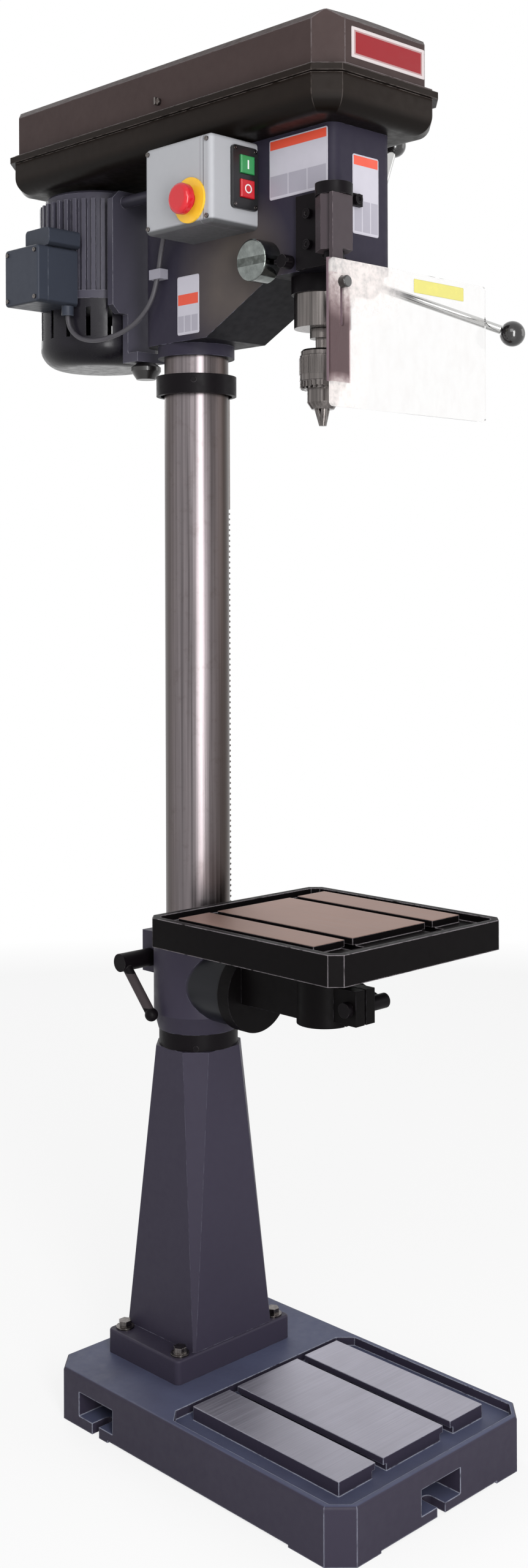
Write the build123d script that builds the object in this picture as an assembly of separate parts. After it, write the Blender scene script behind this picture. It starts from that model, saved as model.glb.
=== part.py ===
from build123d import *
import math
import os

# Floor drill press, in millimetres. Z is up and the front faces -Y. The origin is on the floor,
# under the axis of the column. Plain names below are the sizes that can be set by themselves.

# Shared clearances
fit = 0.06
gap = 0.4
air = 1.2
overrun = 2.0
half_turn = 180.0
right_angle = 90.0

# Column, rack and the two rings that hold the rack
column_radius = 46.0
column_wall = 6.0
column_foot_z = 400.0
column_top_z = 1700.0
ring_width = 23.0
lower_ring_radius = 56.5
collar_z = 1435.0
collar_width = 28.0
collar_radius = 57.6
rack_width = 18.0
rack_depth = 10.0
rack_module = 2.5
rack_tooth_start_z = 560.0
rack_tooth_end_z = 1279.0
tongue_depth = 4.0
tongue_length = 8.0
pressure_angle = 20.0
backlash = 0.5
ring_screw_radius = 4.0
ring_screw_length = 12.0

# Base casting
base_width = 360.0
base_front = 457.0
base_back = 110.0
base_height = 72.0
base_corner = 28.0
base_wall = 12.0
base_skin = 10.0
base_edge_round = 4.0
rim_width = 9.0
trough_depth = 12.0
trough_back = 126.0
base_pad_half_width = 136.0
base_pad_front = 411.0
base_pad_back = 143.0
base_pad_height = 6.0
base_slot_offset = 64.0
slot_width = 15.0
slot_t_width = 26.0
slot_lip = 9.0
foot_gap = 3.0
foot_span_front = 368.0
foot_span_back = 16.0
foot_span_side = 110.0
centre_foot_radius = 42.0
rib_thickness = 10.0
rib_clear = 8.0
rib_places = (-300.0, -190.0)
anchor_y = 10.0
anchor_pocket_width = 74.0
anchor_pocket_depth = 42.0
anchor_floor = 15.0
anchor_pocket_top = 48.0
anchor_slot_radius = 7.5
anchor_slot_length = 30.0

# Pedestal
flange_half_width = 106.5
flange_half_depth = 77.0
flange_thickness = 33.0
flange_round = 8.0
flange_edge_round = 3.0
pedestal_top_z = 507.0
pedestal_foot_half = 73.5
pedestal_foot_chamfer = 3.0
pedestal_top_half = 55.0
pedestal_top_chamfer = 26.0
pedestal_cavity_radius = 62.0
pedestal_shoulder = 4.0
pedestal_bolt_x = 88.0
pedestal_bolt_y = 60.0
pedestal_bolt_radius = 6.0
pedestal_bolt_head = 9.5
pedestal_bolt_head_height = 8.0
washer_radius = 13.0
washer_thickness = 2.5

# Table bracket on the column
bracket_z = 530.6
bracket_height = 129.0
bracket_radius = 64.0
bracket_foot_radius = 57.5
bracket_taper = 24.0
tilt_z = 600.0
boss_radius = 54.0
boss_face_y = 104.0
clamp_lug_half = 28.0
clamp_lug_y = 92.0
clamp_lug_low_z = 600.0
clamp_slit = 4.0
clamp_bolt_y = 74.0
clamp_bolt_z = 622.0
clamp_bolt_radius = 6.0
pinion_teeth = 12
pinion_width = 17.0
pinion_z = 612.0
pinion_shaft_radius = 7.0
wheel_radius = 22.0
wheel_width = 14.0
worm_radius = 12.0
worm_length = 34.0
rack_guard_wall = 3.0
worm_thread_pitch = 6.0
worm_thread_depth = 2.0
case_wall = 7.0
crank_shaft_radius = 8.0
crank_arm_length = 85.0
crank_arm_width = 20.0
crank_arm_thickness = 10.0
crank_stand_out = 22.0
grip_radius = 13.0
grip_length = 62.0
grip_pin_radius = 5.0
grip_waist_share = 0.72
lever_hub_radius = 13.0
lever_length = 89.0
lever_radius = 7.0
lever_hub_length = 57.0
lever_lean = 43.0
lever_ball_share = 1.35

# Table and its arm
throat = 256.0
table_half_width = 161.0
table_front = 178.0
table_z = 720.0
table_apron = 39.0
table_corner = 14.0
table_wall = 10.0
table_skin = 14.0
table_rim = 10.0
table_trough_depth = 10.0
table_pad_half_width = 138.0
table_pad_front = 117.0
table_pad_back = 137.0
table_slot_offset = 76.0
table_slot_rib_half = 22.0
table_slot_rib_skin = 8.0
table_boss_radius = 44.0
arm_flange_radius = 57.0
arm_flange_thickness = 22.0
arm_half_width = 32.0
arm_wall = 9.0
arm_low_z = 588.0
arm_top_z = 640.0
hub_radius = 38.0
hub_low_z = 581.0
hub_top_z = 680.0
table_post_radius = 22.0
hub_lug_half = 18.0
hub_lug_reach = 74.0
hub_lug_low_z = 590.0
hub_lug_top_z = 636.0
hub_slit = 3.0
hub_bolt_reach = 60.0
hub_bolt_z = 611.0
hub_bolt_radius = 5.0
hub_lever_length = 60.0
hub_lever_hub_length = 34.0
hub_lever_lean = 20.0
hub_lever_radius = 5.0
hub_lever_hub_radius = 10.0
tilt_bolt_radius = 10.0
tilt_bolt_head = 17.0
tilt_bolt_head_height = 13.0
tilt_bolt_thread = 30.0

# Head casting
head_half_width = 56.0
head_front = 331.0
head_back = 60.0
head_low_z = 1506.0
head_top_z = 1757.0
head_nose_z = 1572.0
head_slope_start = 85.0
head_slope_end = 214.0
head_front_round = 14.0
head_back_round = 30.0
socket_radius = 55.0
socket_z = 1489.0
head_wall = 10.0
head_cavity_back = 60.0
head_cavity_front = 176.0
head_cavity_floor_z = 1582.0
rod_radius = 9.0
rod_offset = 38.0
rod_z = 1728.0
rod_reach = 62.0

# Quill, spindle and feed
quill_radius = 38.0
quill_low_z = 1504.0
quill_length = 200.0
quill_travel = 85.0
quill_bore = 22.0
seal_radius = 41.5
seal_height = 23.0
feed_z = 1592.0
feed_module = 2.0
feed_teeth = 13
feed_pinion_width = 18.0
feed_shaft_radius = 10.0
feed_collar_x = 18.0
spring_cup_radius = 28.0
spring_cup_depth = 29.0
spring_cup_wall = 2.5
spring_turns = 4
spring_steps = 16
spring_strip = 1.2
hub_shaft_x = 150.0
feed_hub_start_x = 82.0
feed_hub_radius = 24.0
spoke_root_x = 128.0
knob_x = 222.0
spoke_reach = 213.0
spoke_angle = 24.0
spoke_radius = 6.0
spoke_count = 3
knob_radius = 17.5
stop_ring_radius = 35.0
stop_ring_x = 62.0
stop_ring_width = 17.0
stop_knob_radius = 7.0
stop_knob_length = 14.0
stop_screw_radius = 3.0
bearing_low_radius = 26.0
bearing_width = 14.0
bearing_spacing = 8.0
spindle_radius = 12.0
spindle_nose_radius = 17.0
spindle_nose_z = 1491.0
spindle_end_drop = 8.0
spline_root_radius = 9.5
spline_radius = 11.5
spline_width = 5.0
spline_count = 4
spline_clear = 0.35
spline_grip = 50.0
lock_y = 252.0
lock_z = 1586.0
lock_radius = 5.0
lock_knob_radius = 9.0
lock_knob_length = 16.0
wing_share = 1.5

# Drill chuck
arbor_radius = 9.5
arbor_depth = 26.0
chuck_top_z = 1476.0
chuck_radius = 31.0
chuck_core_radius = 22.0
chuck_cap_radius = 29.5
chuck_cap_height = 8.0
sleeve_z = 1423.5
sleeve_wall = 3.0
sleeve_foot = 5.5
sleeve_rim = 13.0
sleeve_tooth_count = 24
sleeve_tooth_height = 9.0
sleeve_tooth_width = 3.6
nose_low_z = 1397.0
nose_radius = 21.0
nose_tip_radius = 15.0
nose_taper = 9.0
jaw_radius = 4.5
jaw_low_z = 1375.0
jaw_length = 54.0
jaw_angle = 16.0
jaw_centre = 3.5
jaw_centre_z = 1386.0
jaw_face_gap = 0.4
jaw_clear = 0.1
jaw_count = 3
jaw_travel = 23.0

# Belt drive
step_radii = (88.0, 73.0, 58.0, 43.0)
step_height = 14.0
pulley_rise = 61.0
groove_depth = 8.0
groove_mouth = 10.0
groove_floor = 6.0
belt_height = 7.0
belt_clear = 0.3
idler_y = 20.0
idler_shaft_radius = 8.0
collar_share = 1.6
idler_plate_half = 30.0
idler_plate_thickness = 8.0
pulley_hub_radius = 16.0
pulley_bearing_radius = 31.0
front_belt_step_count = 1
rear_belt_step_count = 2

# Pulley guard
pan_half_width = 113.0
pan_front = 377.0
pan_back = 313.0
pan_flange_out = 5.4
pan_flange_height = 9.0
pan_height = 55.0
pan_round = 24.0
pan_hole_clear = 4.0
knuckle_length = 10.0
sheet = 2.5
guard_corner = 28.0
lid_half_width = 105.5
lid_front = 372.0
lid_back = 316.0
lid_rest_gap = 0.6
lid_height = 72.0
lid_crown = 8.0
lid_bevel = 11.0
lid_lip = 7.0
lid_back_round = 25.0
lid_corner = 30.0
hinge_out = 5.0
hinge_radius = 4.0
hinge_pin_radius = 2.0
hinge_length = 40.0
hinge_places = (-250.0, 190.0)
latch_y = 45.0
latch_up = 17.0
latch_radius = 5.0
latch_length = 4.0
latch_stem = 3.0

# Motor
motor_y = 221.0
motor_radius = 92.6
motor_core_radius = 84.0
motor_bore = 70.0
motor_low_z = 1494.0
motor_cover_top_z = 1590.0
motor_body_top_z = 1738.0
motor_top_z = 1752.0
motor_round = 34.0
motor_sheet = 2.0
fin_count = 40
fin_share = 0.42
cover_slot_count = 18
cover_slot_low_z = 1534.0
cover_slot_top_z = 1577.0
cover_slot_width = 7.0
stator_bore = 45.0
stator_low_z = 1604.0
stator_height = 104.0
rotor_radius = 44.3
motor_shaft_radius = 9.5
motor_bearing_radius = 20.0
motor_bearing_width = 12.0
fan_radius = 72.0
fan_z = 1512.0
fan_height = 14.0
fan_blades = 8
fan_blade_thickness = 3.0
fan_hub_radius = 20.0
mount_half_width = 62.0
mount_pad_half = 44.0
mount_front = 114.0
mount_thickness = 12.0
mount_top_z = 1744.0
mount_low_z = 1493.0
mount_foot_half = 26.0
mount_foot_front = 92.0
mount_foot_height = 14.0
motor_travel = 12.0
motor_knob_x = -8.0
motor_knob_y = 104.0
motor_knob_radius = 22.0
motor_knob_tip_radius = 14.0
motor_knob_height = 24.0
motor_knob_stem = 6.0
box_out = 155.0
box_cover_depth = 18.0
box_half_width = 41.5
box_y = 211.0
box_low_z = 1576.0
box_top_z = 1660.0
box_wall = 3.0
box_corner = 6.0
cap_box_out = 140.0
cap_box_front = 163.0
cap_box_back = 221.0
cap_box_height = 26.0
gland_radius = 9.0
gland_length = 14.0
gland_bore = 3.6

# Switch box
switch_out = 139.0
switch_front = 190.0
switch_back = 54.0
switch_low_z = 1638.0
switch_top_z = 1755.0
switch_wall = 3.0
switch_round = 7.0
switch_cover_depth = 30.0
plate_start_x = 105.0
plate_end_x = 60.0
plate_low_z = 1661.0
plate_top_z = 1744.0
plate_thickness = 5.0
button_x = 80.0
start_z = 1720.0
stop_z = 1688.0
button_width = 24.0
button_height = 24.0
button_stand = 3.0
button_travel = 2.5
button_stem = 12.0
button_stem_radius = 5.0
estop_y = 149.0
estop_z = 1671.0
estop_ring_radius = 30.0
estop_ring_thickness = 3.0
estop_neck_radius = 12.0
estop_head_radius = 20.5
estop_neck = 8.0
estop_head_depth = 13.0
estop_travel = 4.0
estop_stem_inside = 20.0

# Chuck shield
post_x = 76.0
post_y = 352.0
post_flat_half = 21.0
post_low_z = 1583.0
post_height = 69.0
post_pin_radius = 5.0
upper_ear_height = 16.0
lower_ear_height = 11.0
upper_ear_radius = 24.0
lower_ear_radius = 13.0
bracket_plate = 7.0
bracket_plate_front = 318.0
bracket_plate_back = 270.0
bracket_front_reach = 8.0
bracket_low_reach = 40.0
bar_left = 112.0
bar_right = 76.0
bar_low_z = 1415.0
bar_thickness = 4.0
bar_slot_low_z = 1488.0
bar_slot_high_z = 1544.0
bar_slot_width = 7.0
shield_travel = 40.0
pane_right = 190.0
pane_low_z = 1384.0
pane_height = 184.0
pane_thickness = 3.0
pane_left = 112.0
pane_corner = 6.0
tongue_thickness = 6.0
tongue_half = 9.0
tongue_low_z = 1526.0
screw_x = 91.0
screw_z = 1539.0
shield_screw_radius = 3.0
shield_knob_radius = 7.5
shield_knob_length = 10.0

# Motor lead. Its points are chosen by eye, from the gland of the motor's box to that of the switch box.
lead_radius = 3.5
lead_box_x = 96.0
lead_box_y = 178.0
lead_switch_x = 80.0
lead_switch_z = 1666.0
clip_half = 7.0
clip_half_length = 12.0
clip_clear = 1.5
lead_clear = 1.1
lead_exit_drop = 10.0
lead_end_inside = 3.0
lead_loop = (
    (-95.8, 177.0, 1552.0),
    (-94.5, 170.0, 1538.0),
    (-91.0, 152.0, 1525.0),
    (-84.0, 118.0, 1519.5),
    (-73.0, 61.0, 1531.0),
    (-66.0, 22.0, 1562.0),
)
lead_clip = (-64.0, 8.0, 1604.0)
lead_rise = (
    (-66.5, -2.0, 1638.0),
    (-75.0, -21.0, 1660.0),
)


def block(x0, x1, y0, y1, z0, z1):
    """A box between two corners."""
    return Pos((x0 + x1) / 2, (y0 + y1) / 2, (z0 + z1) / 2) * Box(x1 - x0, y1 - y0, z1 - z0)


def post(radius, z0, z1, x=0, y=0):
    """An upright cylinder."""
    return Pos(x, y, (z0 + z1) / 2) * Cylinder(radius, z1 - z0)


def bar_x(radius, x0, x1, y, z):
    """A cylinder along X."""
    return Pos((x0 + x1) / 2, y, z) * Rot(0, right_angle, 0) * Cylinder(radius, x1 - x0)


def bar_y(radius, y0, y1, x, z):
    """A cylinder along Y."""
    return Pos(x, (y0 + y1) / 2, z) * Rot(right_angle, 0, 0) * Cylinder(radius, y1 - y0)


def slab(points, z0, z1):
    """An outline in plan, raised from z0 to z1."""
    face = Pos(0, 0, z0) * make_face(Polyline(*points, close=True))
    return extrude(face, z1 - z0, dir=(0, 0, 1))


def side_slab(points, x0, x1):
    """An outline of (y, z) points, carried from x0 to x1."""
    face = Plane.YZ.offset(x0) * make_face(Polyline(*points, close=True))
    return extrude(face, x1 - x0, dir=(1, 0, 0))


def front_slab(points, y0, y1):
    """An outline of (x, z) points, carried from y0 to y1."""
    face = Plane.XZ.offset(-y0) * make_face(Polyline(*points, close=True))
    return extrude(face, y1 - y0, dir=(0, 1, 0))


def turned(points, x=0, y=0):
    """A profile of (radius, z) points, turned about an upright axis."""
    return Pos(x, y, 0) * revolve(Plane.XZ * make_face(Polyline(*points, close=True)), Axis.Z)


def turned_x(points, y, z):
    """A profile of (radius, x) points, turned about an axis along X."""
    return Pos(0, y, z) * Rot(0, right_angle, 0) * revolve(
        Plane.XZ * make_face(Polyline(*points, close=True)), Axis.Z)


def ring(outer, inner, z0, z1, x=0, y=0):
    """An upright ring."""
    return post(outer, z0, z1, x, y) - post(inner, z0 - overrun, z1 + overrun, x, y)


def cut_corner_block(x0, x1, y0, y1, z0, z1, corner):
    """A box whose upright edges are cut at 45 degrees."""
    body = block(x0, x1, y0, y1, z0, z1)
    return chamfer(body.edges().filter_by(Axis.Z), corner)


def rounded_block(x0, x1, y0, y1, z0, z1, corner):
    """A box whose upright edges are rounded."""
    body = block(x0, x1, y0, y1, z0, z1)
    return fillet(body.edges().filter_by(Axis.Z), corner)


def cut_corner_points(half_x, y0, y1, corner):
    """The plan of a box with cut corners."""
    return (
        (-half_x + corner, y0), (half_x - corner, y0), (half_x, y0 + corner), (half_x, y1 - corner),
        (half_x - corner, y1), (-half_x + corner, y1), (-half_x, y1 - corner), (-half_x, y0 + corner),
    )


def hexagon_z(radius, z0, z1, x=0, y=0):
    """A hexagon prism with its corners at the given radius."""
    return Pos(x, y, z0) * extrude(RegularPolygon(radius, 6), z1 - z0)


def rod_between(start, end, radius):
    """A round rod from one point to another."""
    axis = Vector(*end) - Vector(*start)
    plane = Plane(origin=start, z_dir=axis.normalized())
    return extrude(plane * Circle(radius), axis.length)


def union(pieces):
    """Several touching solids as one."""
    body = pieces[0]
    for piece in pieces[1:]:
        body = body + piece
    return body


def save(name, shape):
    """Writes one node."""
    export_step(shape, "parts/" + name + ".step")


# Gear teeth

rack_tip_share = 0.8
rack_root_share = 1.25
flank_shares = (0.0, 0.3, 0.65, 1.0)


def rack_gap(module):
    """One gap between rack teeth, as (along, depth) points, wide at the tips and open past them."""
    lean = math.tan(math.radians(pressure_angle))
    depth = module * (rack_tip_share + rack_root_share)
    tip_half = math.pi * module / 4 + backlash / 2 + module * rack_tip_share * lean
    root_half = tip_half - depth * lean
    return ((-tip_half - overrun * lean, overrun), (tip_half + overrun * lean, overrun),
            (root_half, -depth), (-root_half, -depth))


def pinion_points(teeth, module):
    """The outline of an involute pinion, with a tooth centred on the first axis."""
    pitch = teeth * module / 2
    base = pitch * math.cos(math.radians(pressure_angle))
    tip = pitch + module
    root = pitch - module * rack_root_share
    start = max(base, root)
    spread = math.tan(math.radians(pressure_angle)) - math.radians(pressure_angle)
    half_tooth = (math.pi * module / 4 - backlash / 2) / pitch + spread
    points = []
    for tooth in range(teeth):
        centre = 2 * math.pi * tooth / teeth
        flank = []
        for share in flank_shares:
            radius = start + (tip - start) * share
            roll = math.acos(min(1, base / radius))
            flank.append((radius, half_tooth - (math.tan(roll) - roll)))
        points.append((root, centre - flank[0][1]))
        points += [(radius, centre - angle) for radius, angle in flank]
        points += [(radius, centre + angle) for radius, angle in reversed(flank)]
        points.append((root, centre + flank[0][1]))
    return [(radius * math.cos(angle), radius * math.sin(angle)) for radius, angle in points]


# Places worked out from the sizes above

base_pad_top_z = base_height + base_pad_height
trough_z = base_height - trough_depth
flange_top_z = base_height + flange_thickness
ring_top_z = pedestal_top_z + ring_width
collar_top_z = collar_z + collar_width
rack_back_x = column_radius + gap
rack_face_x = rack_back_x + rack_depth
rack_pitch_x = rack_face_x - rack_module * rack_tip_share
pinion_radius = pinion_teeth * rack_module / 2
pinion_x = rack_pitch_x + pinion_radius
rack_pitch = math.pi * rack_module
tongue_space = math.hypot(rack_back_x + tongue_depth, rack_width / 2) + gap
bracket_top_z = bracket_z + bracket_height
wheel_y = rack_width / 2 + gap + rack_guard_wall + air + worm_radius
worm_z = pinion_z + wheel_radius + worm_radius + gap
case_front_y = -pinion_width / 2 - air - case_wall
case_back_y = wheel_y + wheel_width / 2 + air + case_wall
case_out_x = pinion_x + wheel_radius + air + case_wall
case_low_z = pinion_z - wheel_radius - air - case_wall
case_top_z = worm_z + worm_radius + air + case_wall
table_centre_y = -throat
table_low_z = table_z - table_apron
arm_face_y = boss_face_y + gap
arm_flange_end = arm_face_y + arm_flange_thickness
quill_top_z = quill_low_z + quill_length
feed_pinion_radius = feed_teeth * feed_module / 2
feed_y = throat - quill_radius + feed_module * rack_tip_share - feed_pinion_radius
feed_tip_radius = feed_pinion_radius + feed_module
sleeve_top_z = chuck_top_z - chuck_cap_height - gap
quill_room_z = quill_top_z + 2 * overrun
bearing_shelf_z = head_top_z - 2 * bearing_width - bearing_spacing
shield_top_z = motor_cover_top_z + motor_bearing_width
pulley_z = head_top_z + pulley_rise
pulley_top_z = pulley_z + step_height * len(step_radii)
spindle_top_z = pulley_top_z - spindle_end_drop
pan_top_z = head_top_z + pan_height
lid_z = pan_top_z + lid_rest_gap
guard_flange_half = pan_half_width + pan_flange_out
hinge_x = guard_flange_half + hinge_out
hinge_z = lid_z
lid_top_z = lid_z + lid_height
motor_plate_back = mount_front + mount_thickness
tongue_face = -post_y - post_flat_half
bar_back = tongue_face - gap
pane_back = bar_back - bar_thickness
pane_front = pane_back - pane_thickness
knob_face = pane_front - gap
post_top_z = post_low_z + post_height
bracket_plate_top_z = post_top_z + upper_ear_height
bracket_plate_low_z = post_low_z - lower_ear_height
lead_points = (
    ((-lead_box_x, lead_box_y, box_low_z - lead_exit_drop),)
    + lead_loop
    + (lead_clip,)
    + lead_rise
    + ((-lead_switch_x, -switch_back + gland_length, lead_switch_z),
       (-lead_switch_x, -switch_back - lead_end_inside, lead_switch_z))
)


# Base and column

def t_slot(offset, y0, y1, top_z):
    """The space of one T-slot that runs along Y."""
    mouth = block(offset - slot_width / 2, offset + slot_width / 2, y0, y1, top_z - slot_lip - overrun,
                  top_z + overrun)
    return mouth + block(offset - slot_t_width / 2, offset + slot_t_width / 2, y0, y1,
                         top_z - 2 * slot_lip, top_z - slot_lip)


def anchor_lump(wide, deep):
    """The solid round one anchor pocket, in its own frame: the wall's outside is at y = 0."""
    return block(-wide, wide, 0, deep, 0, trough_z - base_skin)


def anchor_space():
    """The pocket and open slot for one anchor bolt, in the same frame as its lump."""
    half = anchor_pocket_width / 2
    pocket = block(-half, half, -overrun, anchor_pocket_depth, anchor_floor, anchor_pocket_top)
    run = anchor_slot_length - anchor_slot_radius
    slot = block(-anchor_slot_radius, anchor_slot_radius, -overrun, run, -overrun,
                 anchor_floor + overrun)
    return pocket + slot + post(anchor_slot_radius, -overrun, anchor_floor + overrun, 0, run)


def anchor_frames():
    """Where the three anchor pockets lie: front, left and right."""
    half = base_width / 2
    return (Pos(0, -base_front, 0), Pos(-half, anchor_y, 0) * Rot(0, 0, -right_angle),
            Pos(half, anchor_y, 0) * Rot(0, 0, right_angle))


def make_base():
    half = base_width / 2
    body = cut_corner_block(-half, half, -base_front, base_back, 0, base_height, base_corner)
    body = fillet(body.faces().sort_by(Axis.Z)[-1].edges(), base_edge_round)
    inner = half - rim_width
    body -= cut_corner_block(-inner, inner, -base_front + rim_width, -trough_back, trough_z,
                             base_height + overrun, base_corner - rim_width)
    body += block(-base_pad_half_width, base_pad_half_width, -base_pad_front, -base_pad_back,
                  trough_z, base_pad_top_z)
    wall = half - base_wall
    body -= cut_corner_block(-wall, wall, -base_front + base_wall, base_back - base_wall, -overrun,
                             trough_z - base_skin, base_corner - base_wall / 2)
    for y in rib_places:
        body += block(-wall, wall, y, y + rib_thickness, rib_clear, trough_z - base_skin)
    body += block(-rib_thickness / 2, rib_thickness / 2, -base_front + base_wall,
                  base_back - base_wall, rib_clear, trough_z - base_skin)
    lump_half = anchor_pocket_width / 2 + base_wall
    for frame in anchor_frames():
        body += frame * anchor_lump(lump_half, anchor_pocket_depth + base_wall)
    body -= block(-half - overrun, half + overrun, -foot_span_front, -foot_span_back, -overrun, foot_gap)
    body -= block(-foot_span_side, foot_span_side, -base_front - overrun, base_back + overrun,
                  -overrun, foot_gap)
    body += post(centre_foot_radius, 0, trough_z - base_skin)
    for frame in anchor_frames():
        body -= frame * anchor_space()
    for side in (-1, 1):
        body -= t_slot(side * base_slot_offset, -base_pad_front - slot_t_width, -base_pad_back + overrun,
                       base_pad_top_z)
    for x in (-pedestal_bolt_x, pedestal_bolt_x):
        for y in (-pedestal_bolt_y, pedestal_bolt_y):
            body -= post(pedestal_bolt_radius + fit, trough_z - base_skin - overrun,
                         base_height + overrun, x, y)
    return body


def octagon(half, corner, z):
    """The pedestal's section at one height."""
    return Pos(0, 0, z) * make_face(Polyline(*cut_corner_points(half, -half, half, corner), close=True))


def make_pedestal():
    flange = rounded_block(-flange_half_width, flange_half_width, -flange_half_depth,
                           flange_half_depth, base_height, flange_top_z, flange_round)
    flange = fillet(flange.faces().sort_by(Axis.Z)[-1].edges(), flange_edge_round)
    body = flange + loft([octagon(pedestal_foot_half, pedestal_foot_chamfer, flange_top_z),
                          octagon(pedestal_top_half, pedestal_top_chamfer, pedestal_top_z)])
    body -= turned(((0, base_height - overrun), (pedestal_cavity_radius, base_height - overrun),
                    (column_radius - pedestal_shoulder, column_foot_z - overrun),
                    (column_radius - pedestal_shoulder, column_foot_z + overrun),
                    (0, column_foot_z + overrun)))
    body -= post(column_radius, column_foot_z, pedestal_top_z + overrun)
    for x in (-pedestal_bolt_x, pedestal_bolt_x):
        for y in (-pedestal_bolt_y, pedestal_bolt_y):
            body -= post(pedestal_bolt_radius + fit, base_height - overrun, flange_top_z + overrun, x, y)
    return body


def pedestal_bolt(x, y):
    """One hexagon bolt with its washer, as two solids that touch."""
    under = flange_top_z + washer_thickness
    shank = post(pedestal_bolt_radius, trough_z - base_skin, under, x, y)
    head = hexagon_z(pedestal_bolt_head, under, under + pedestal_bolt_head_height, x, y)
    plate = ring(washer_radius, pedestal_bolt_radius + fit, flange_top_z, under, x, y)
    return [shank + head, plate]


def make_pedestal_bolts():
    pieces = []
    for x in (-pedestal_bolt_x, pedestal_bolt_x):
        for y in (-pedestal_bolt_y, pedestal_bolt_y):
            pieces += pedestal_bolt(x, y)
    return Compound(children=pieces)


def make_column():
    return ring(column_radius, column_radius - column_wall, column_foot_z, column_top_z)


def ring_screw_place():
    """The direction of the rings' set screws, towards the front left."""
    return Rot(0, 0, -half_turn + right_angle / 2)


def make_lower_ring():
    body = ring(lower_ring_radius, column_radius, pedestal_top_z, ring_top_z)
    body -= post(tongue_space, ring_top_z - tongue_length - gap, ring_top_z + overrun) - post(
        column_radius, pedestal_top_z, ring_top_z + overrun)
    return body - ring_screw_place() * bar_x(ring_screw_radius, column_radius, collar_radius + overrun,
                                             0, pedestal_top_z + ring_screw_radius + gap)


def make_upper_collar():
    body = ring(collar_radius, column_radius, collar_z, collar_top_z)
    body -= post(tongue_space, collar_z - overrun, collar_z + tongue_length + gap) - post(
        column_radius, collar_z - overrun, collar_top_z)
    return body - ring_screw_place() * bar_x(ring_screw_radius, column_radius, collar_radius + overrun,
                                             0, collar_top_z - collar_width / 3)


def make_ring_screws():
    lower = bar_x(ring_screw_radius, column_radius, column_radius + ring_screw_length, 0,
                  pedestal_top_z + ring_screw_radius + gap)
    upper = bar_x(ring_screw_radius, column_radius, column_radius + ring_screw_length, 0,
                  collar_top_z - collar_width / 3)
    return Compound(children=[ring_screw_place() * lower, ring_screw_place() * upper])


def make_rack():
    low = ring_top_z + gap
    high = collar_z - gap
    half = rack_width / 2
    body = block(rack_back_x, rack_face_x, -half, half, low, high)
    body += block(rack_back_x, rack_back_x + tongue_depth, -half, half, low - tongue_length,
                  high + tongue_length)
    count = int((rack_tooth_end_z - rack_tooth_start_z) / rack_pitch)
    gaps = []
    first = pinion_z - rack_pitch * int((pinion_z - rack_tooth_start_z) / rack_pitch)
    for index in range(count):
        z = first + index * rack_pitch
        outline = [(rack_face_x + depth, z + along) for along, depth in rack_gap(rack_module)]
        gaps.append(front_slab(outline, -half - overrun, half + overrun))
    return body - gaps


# Table bracket, its lift and its clamp

def make_bracket():
    sleeve = turned(((0, bracket_z), (bracket_foot_radius, bracket_z),
                     (bracket_radius, bracket_z + bracket_taper), (bracket_radius, bracket_top_z),
                     (0, bracket_top_z)))
    body = sleeve + bar_y(boss_radius, -boss_face_y, 0, 0, tilt_z)
    body += block(0, case_out_x, case_front_y, case_back_y, case_low_z, case_top_z)
    body += block(-clamp_lug_half, clamp_lug_half, 0, clamp_lug_y, clamp_lug_low_z, bracket_top_z)
    body -= post(column_radius + fit, bracket_z - overrun, case_top_z + overrun)
    channel_half = rack_width / 2 + gap
    body -= block(0, rack_face_x + gap, -channel_half, channel_half, bracket_z - overrun,
                  case_top_z + overrun)
    body -= block(-clamp_slit / 2, clamp_slit / 2, 0, clamp_lug_y + overrun, bracket_z - overrun,
                  bracket_top_z + overrun)
    body -= bar_x(clamp_bolt_radius + fit, -clamp_lug_half - overrun, clamp_lug_half + overrun,
                  clamp_bolt_y, clamp_bolt_z)
    return body - lift_spaces() - bar_y(tilt_bolt_radius, -boss_face_y - overrun,
                                        -boss_face_y + tilt_bolt_thread, 0, tilt_z)


def lift_spaces():
    """What the pinion, wheel, worm and their shafts need inside the case."""
    tip = pinion_radius + rack_module + air
    space = bar_y(tip, -pinion_width / 2 - air, wheel_y, pinion_x, pinion_z)
    space += bar_y(wheel_radius + air, wheel_y - wheel_width / 2 - air / 2,
                   wheel_y + wheel_width / 2 + air, pinion_x, pinion_z)
    space += bar_y(pinion_shaft_radius + fit, case_front_y - overrun, case_back_y + overrun,
                   pinion_x, pinion_z)
    space += bar_x(worm_radius + air, pinion_x - worm_length / 2 - air, case_out_x - case_wall,
                   wheel_y, worm_z)
    return space + bar_x(crank_shaft_radius + fit, pinion_x, case_out_x + overrun, wheel_y, worm_z)


def make_pinion():
    gear = extrude(make_face(Polyline(*pinion_points(pinion_teeth, rack_module), close=True)),
                   pinion_width)
    place = Pos(pinion_x, pinion_width / 2, pinion_z) * Rot(right_angle, 0, 0)
    body = place * (Rot(0, 0, half_turn) * gear)
    body += bar_y(pinion_shaft_radius, case_front_y, case_back_y, pinion_x, pinion_z)
    return body + bar_y(wheel_radius, wheel_y - wheel_width / 2, wheel_y + wheel_width / 2,
                        pinion_x, pinion_z)


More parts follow.
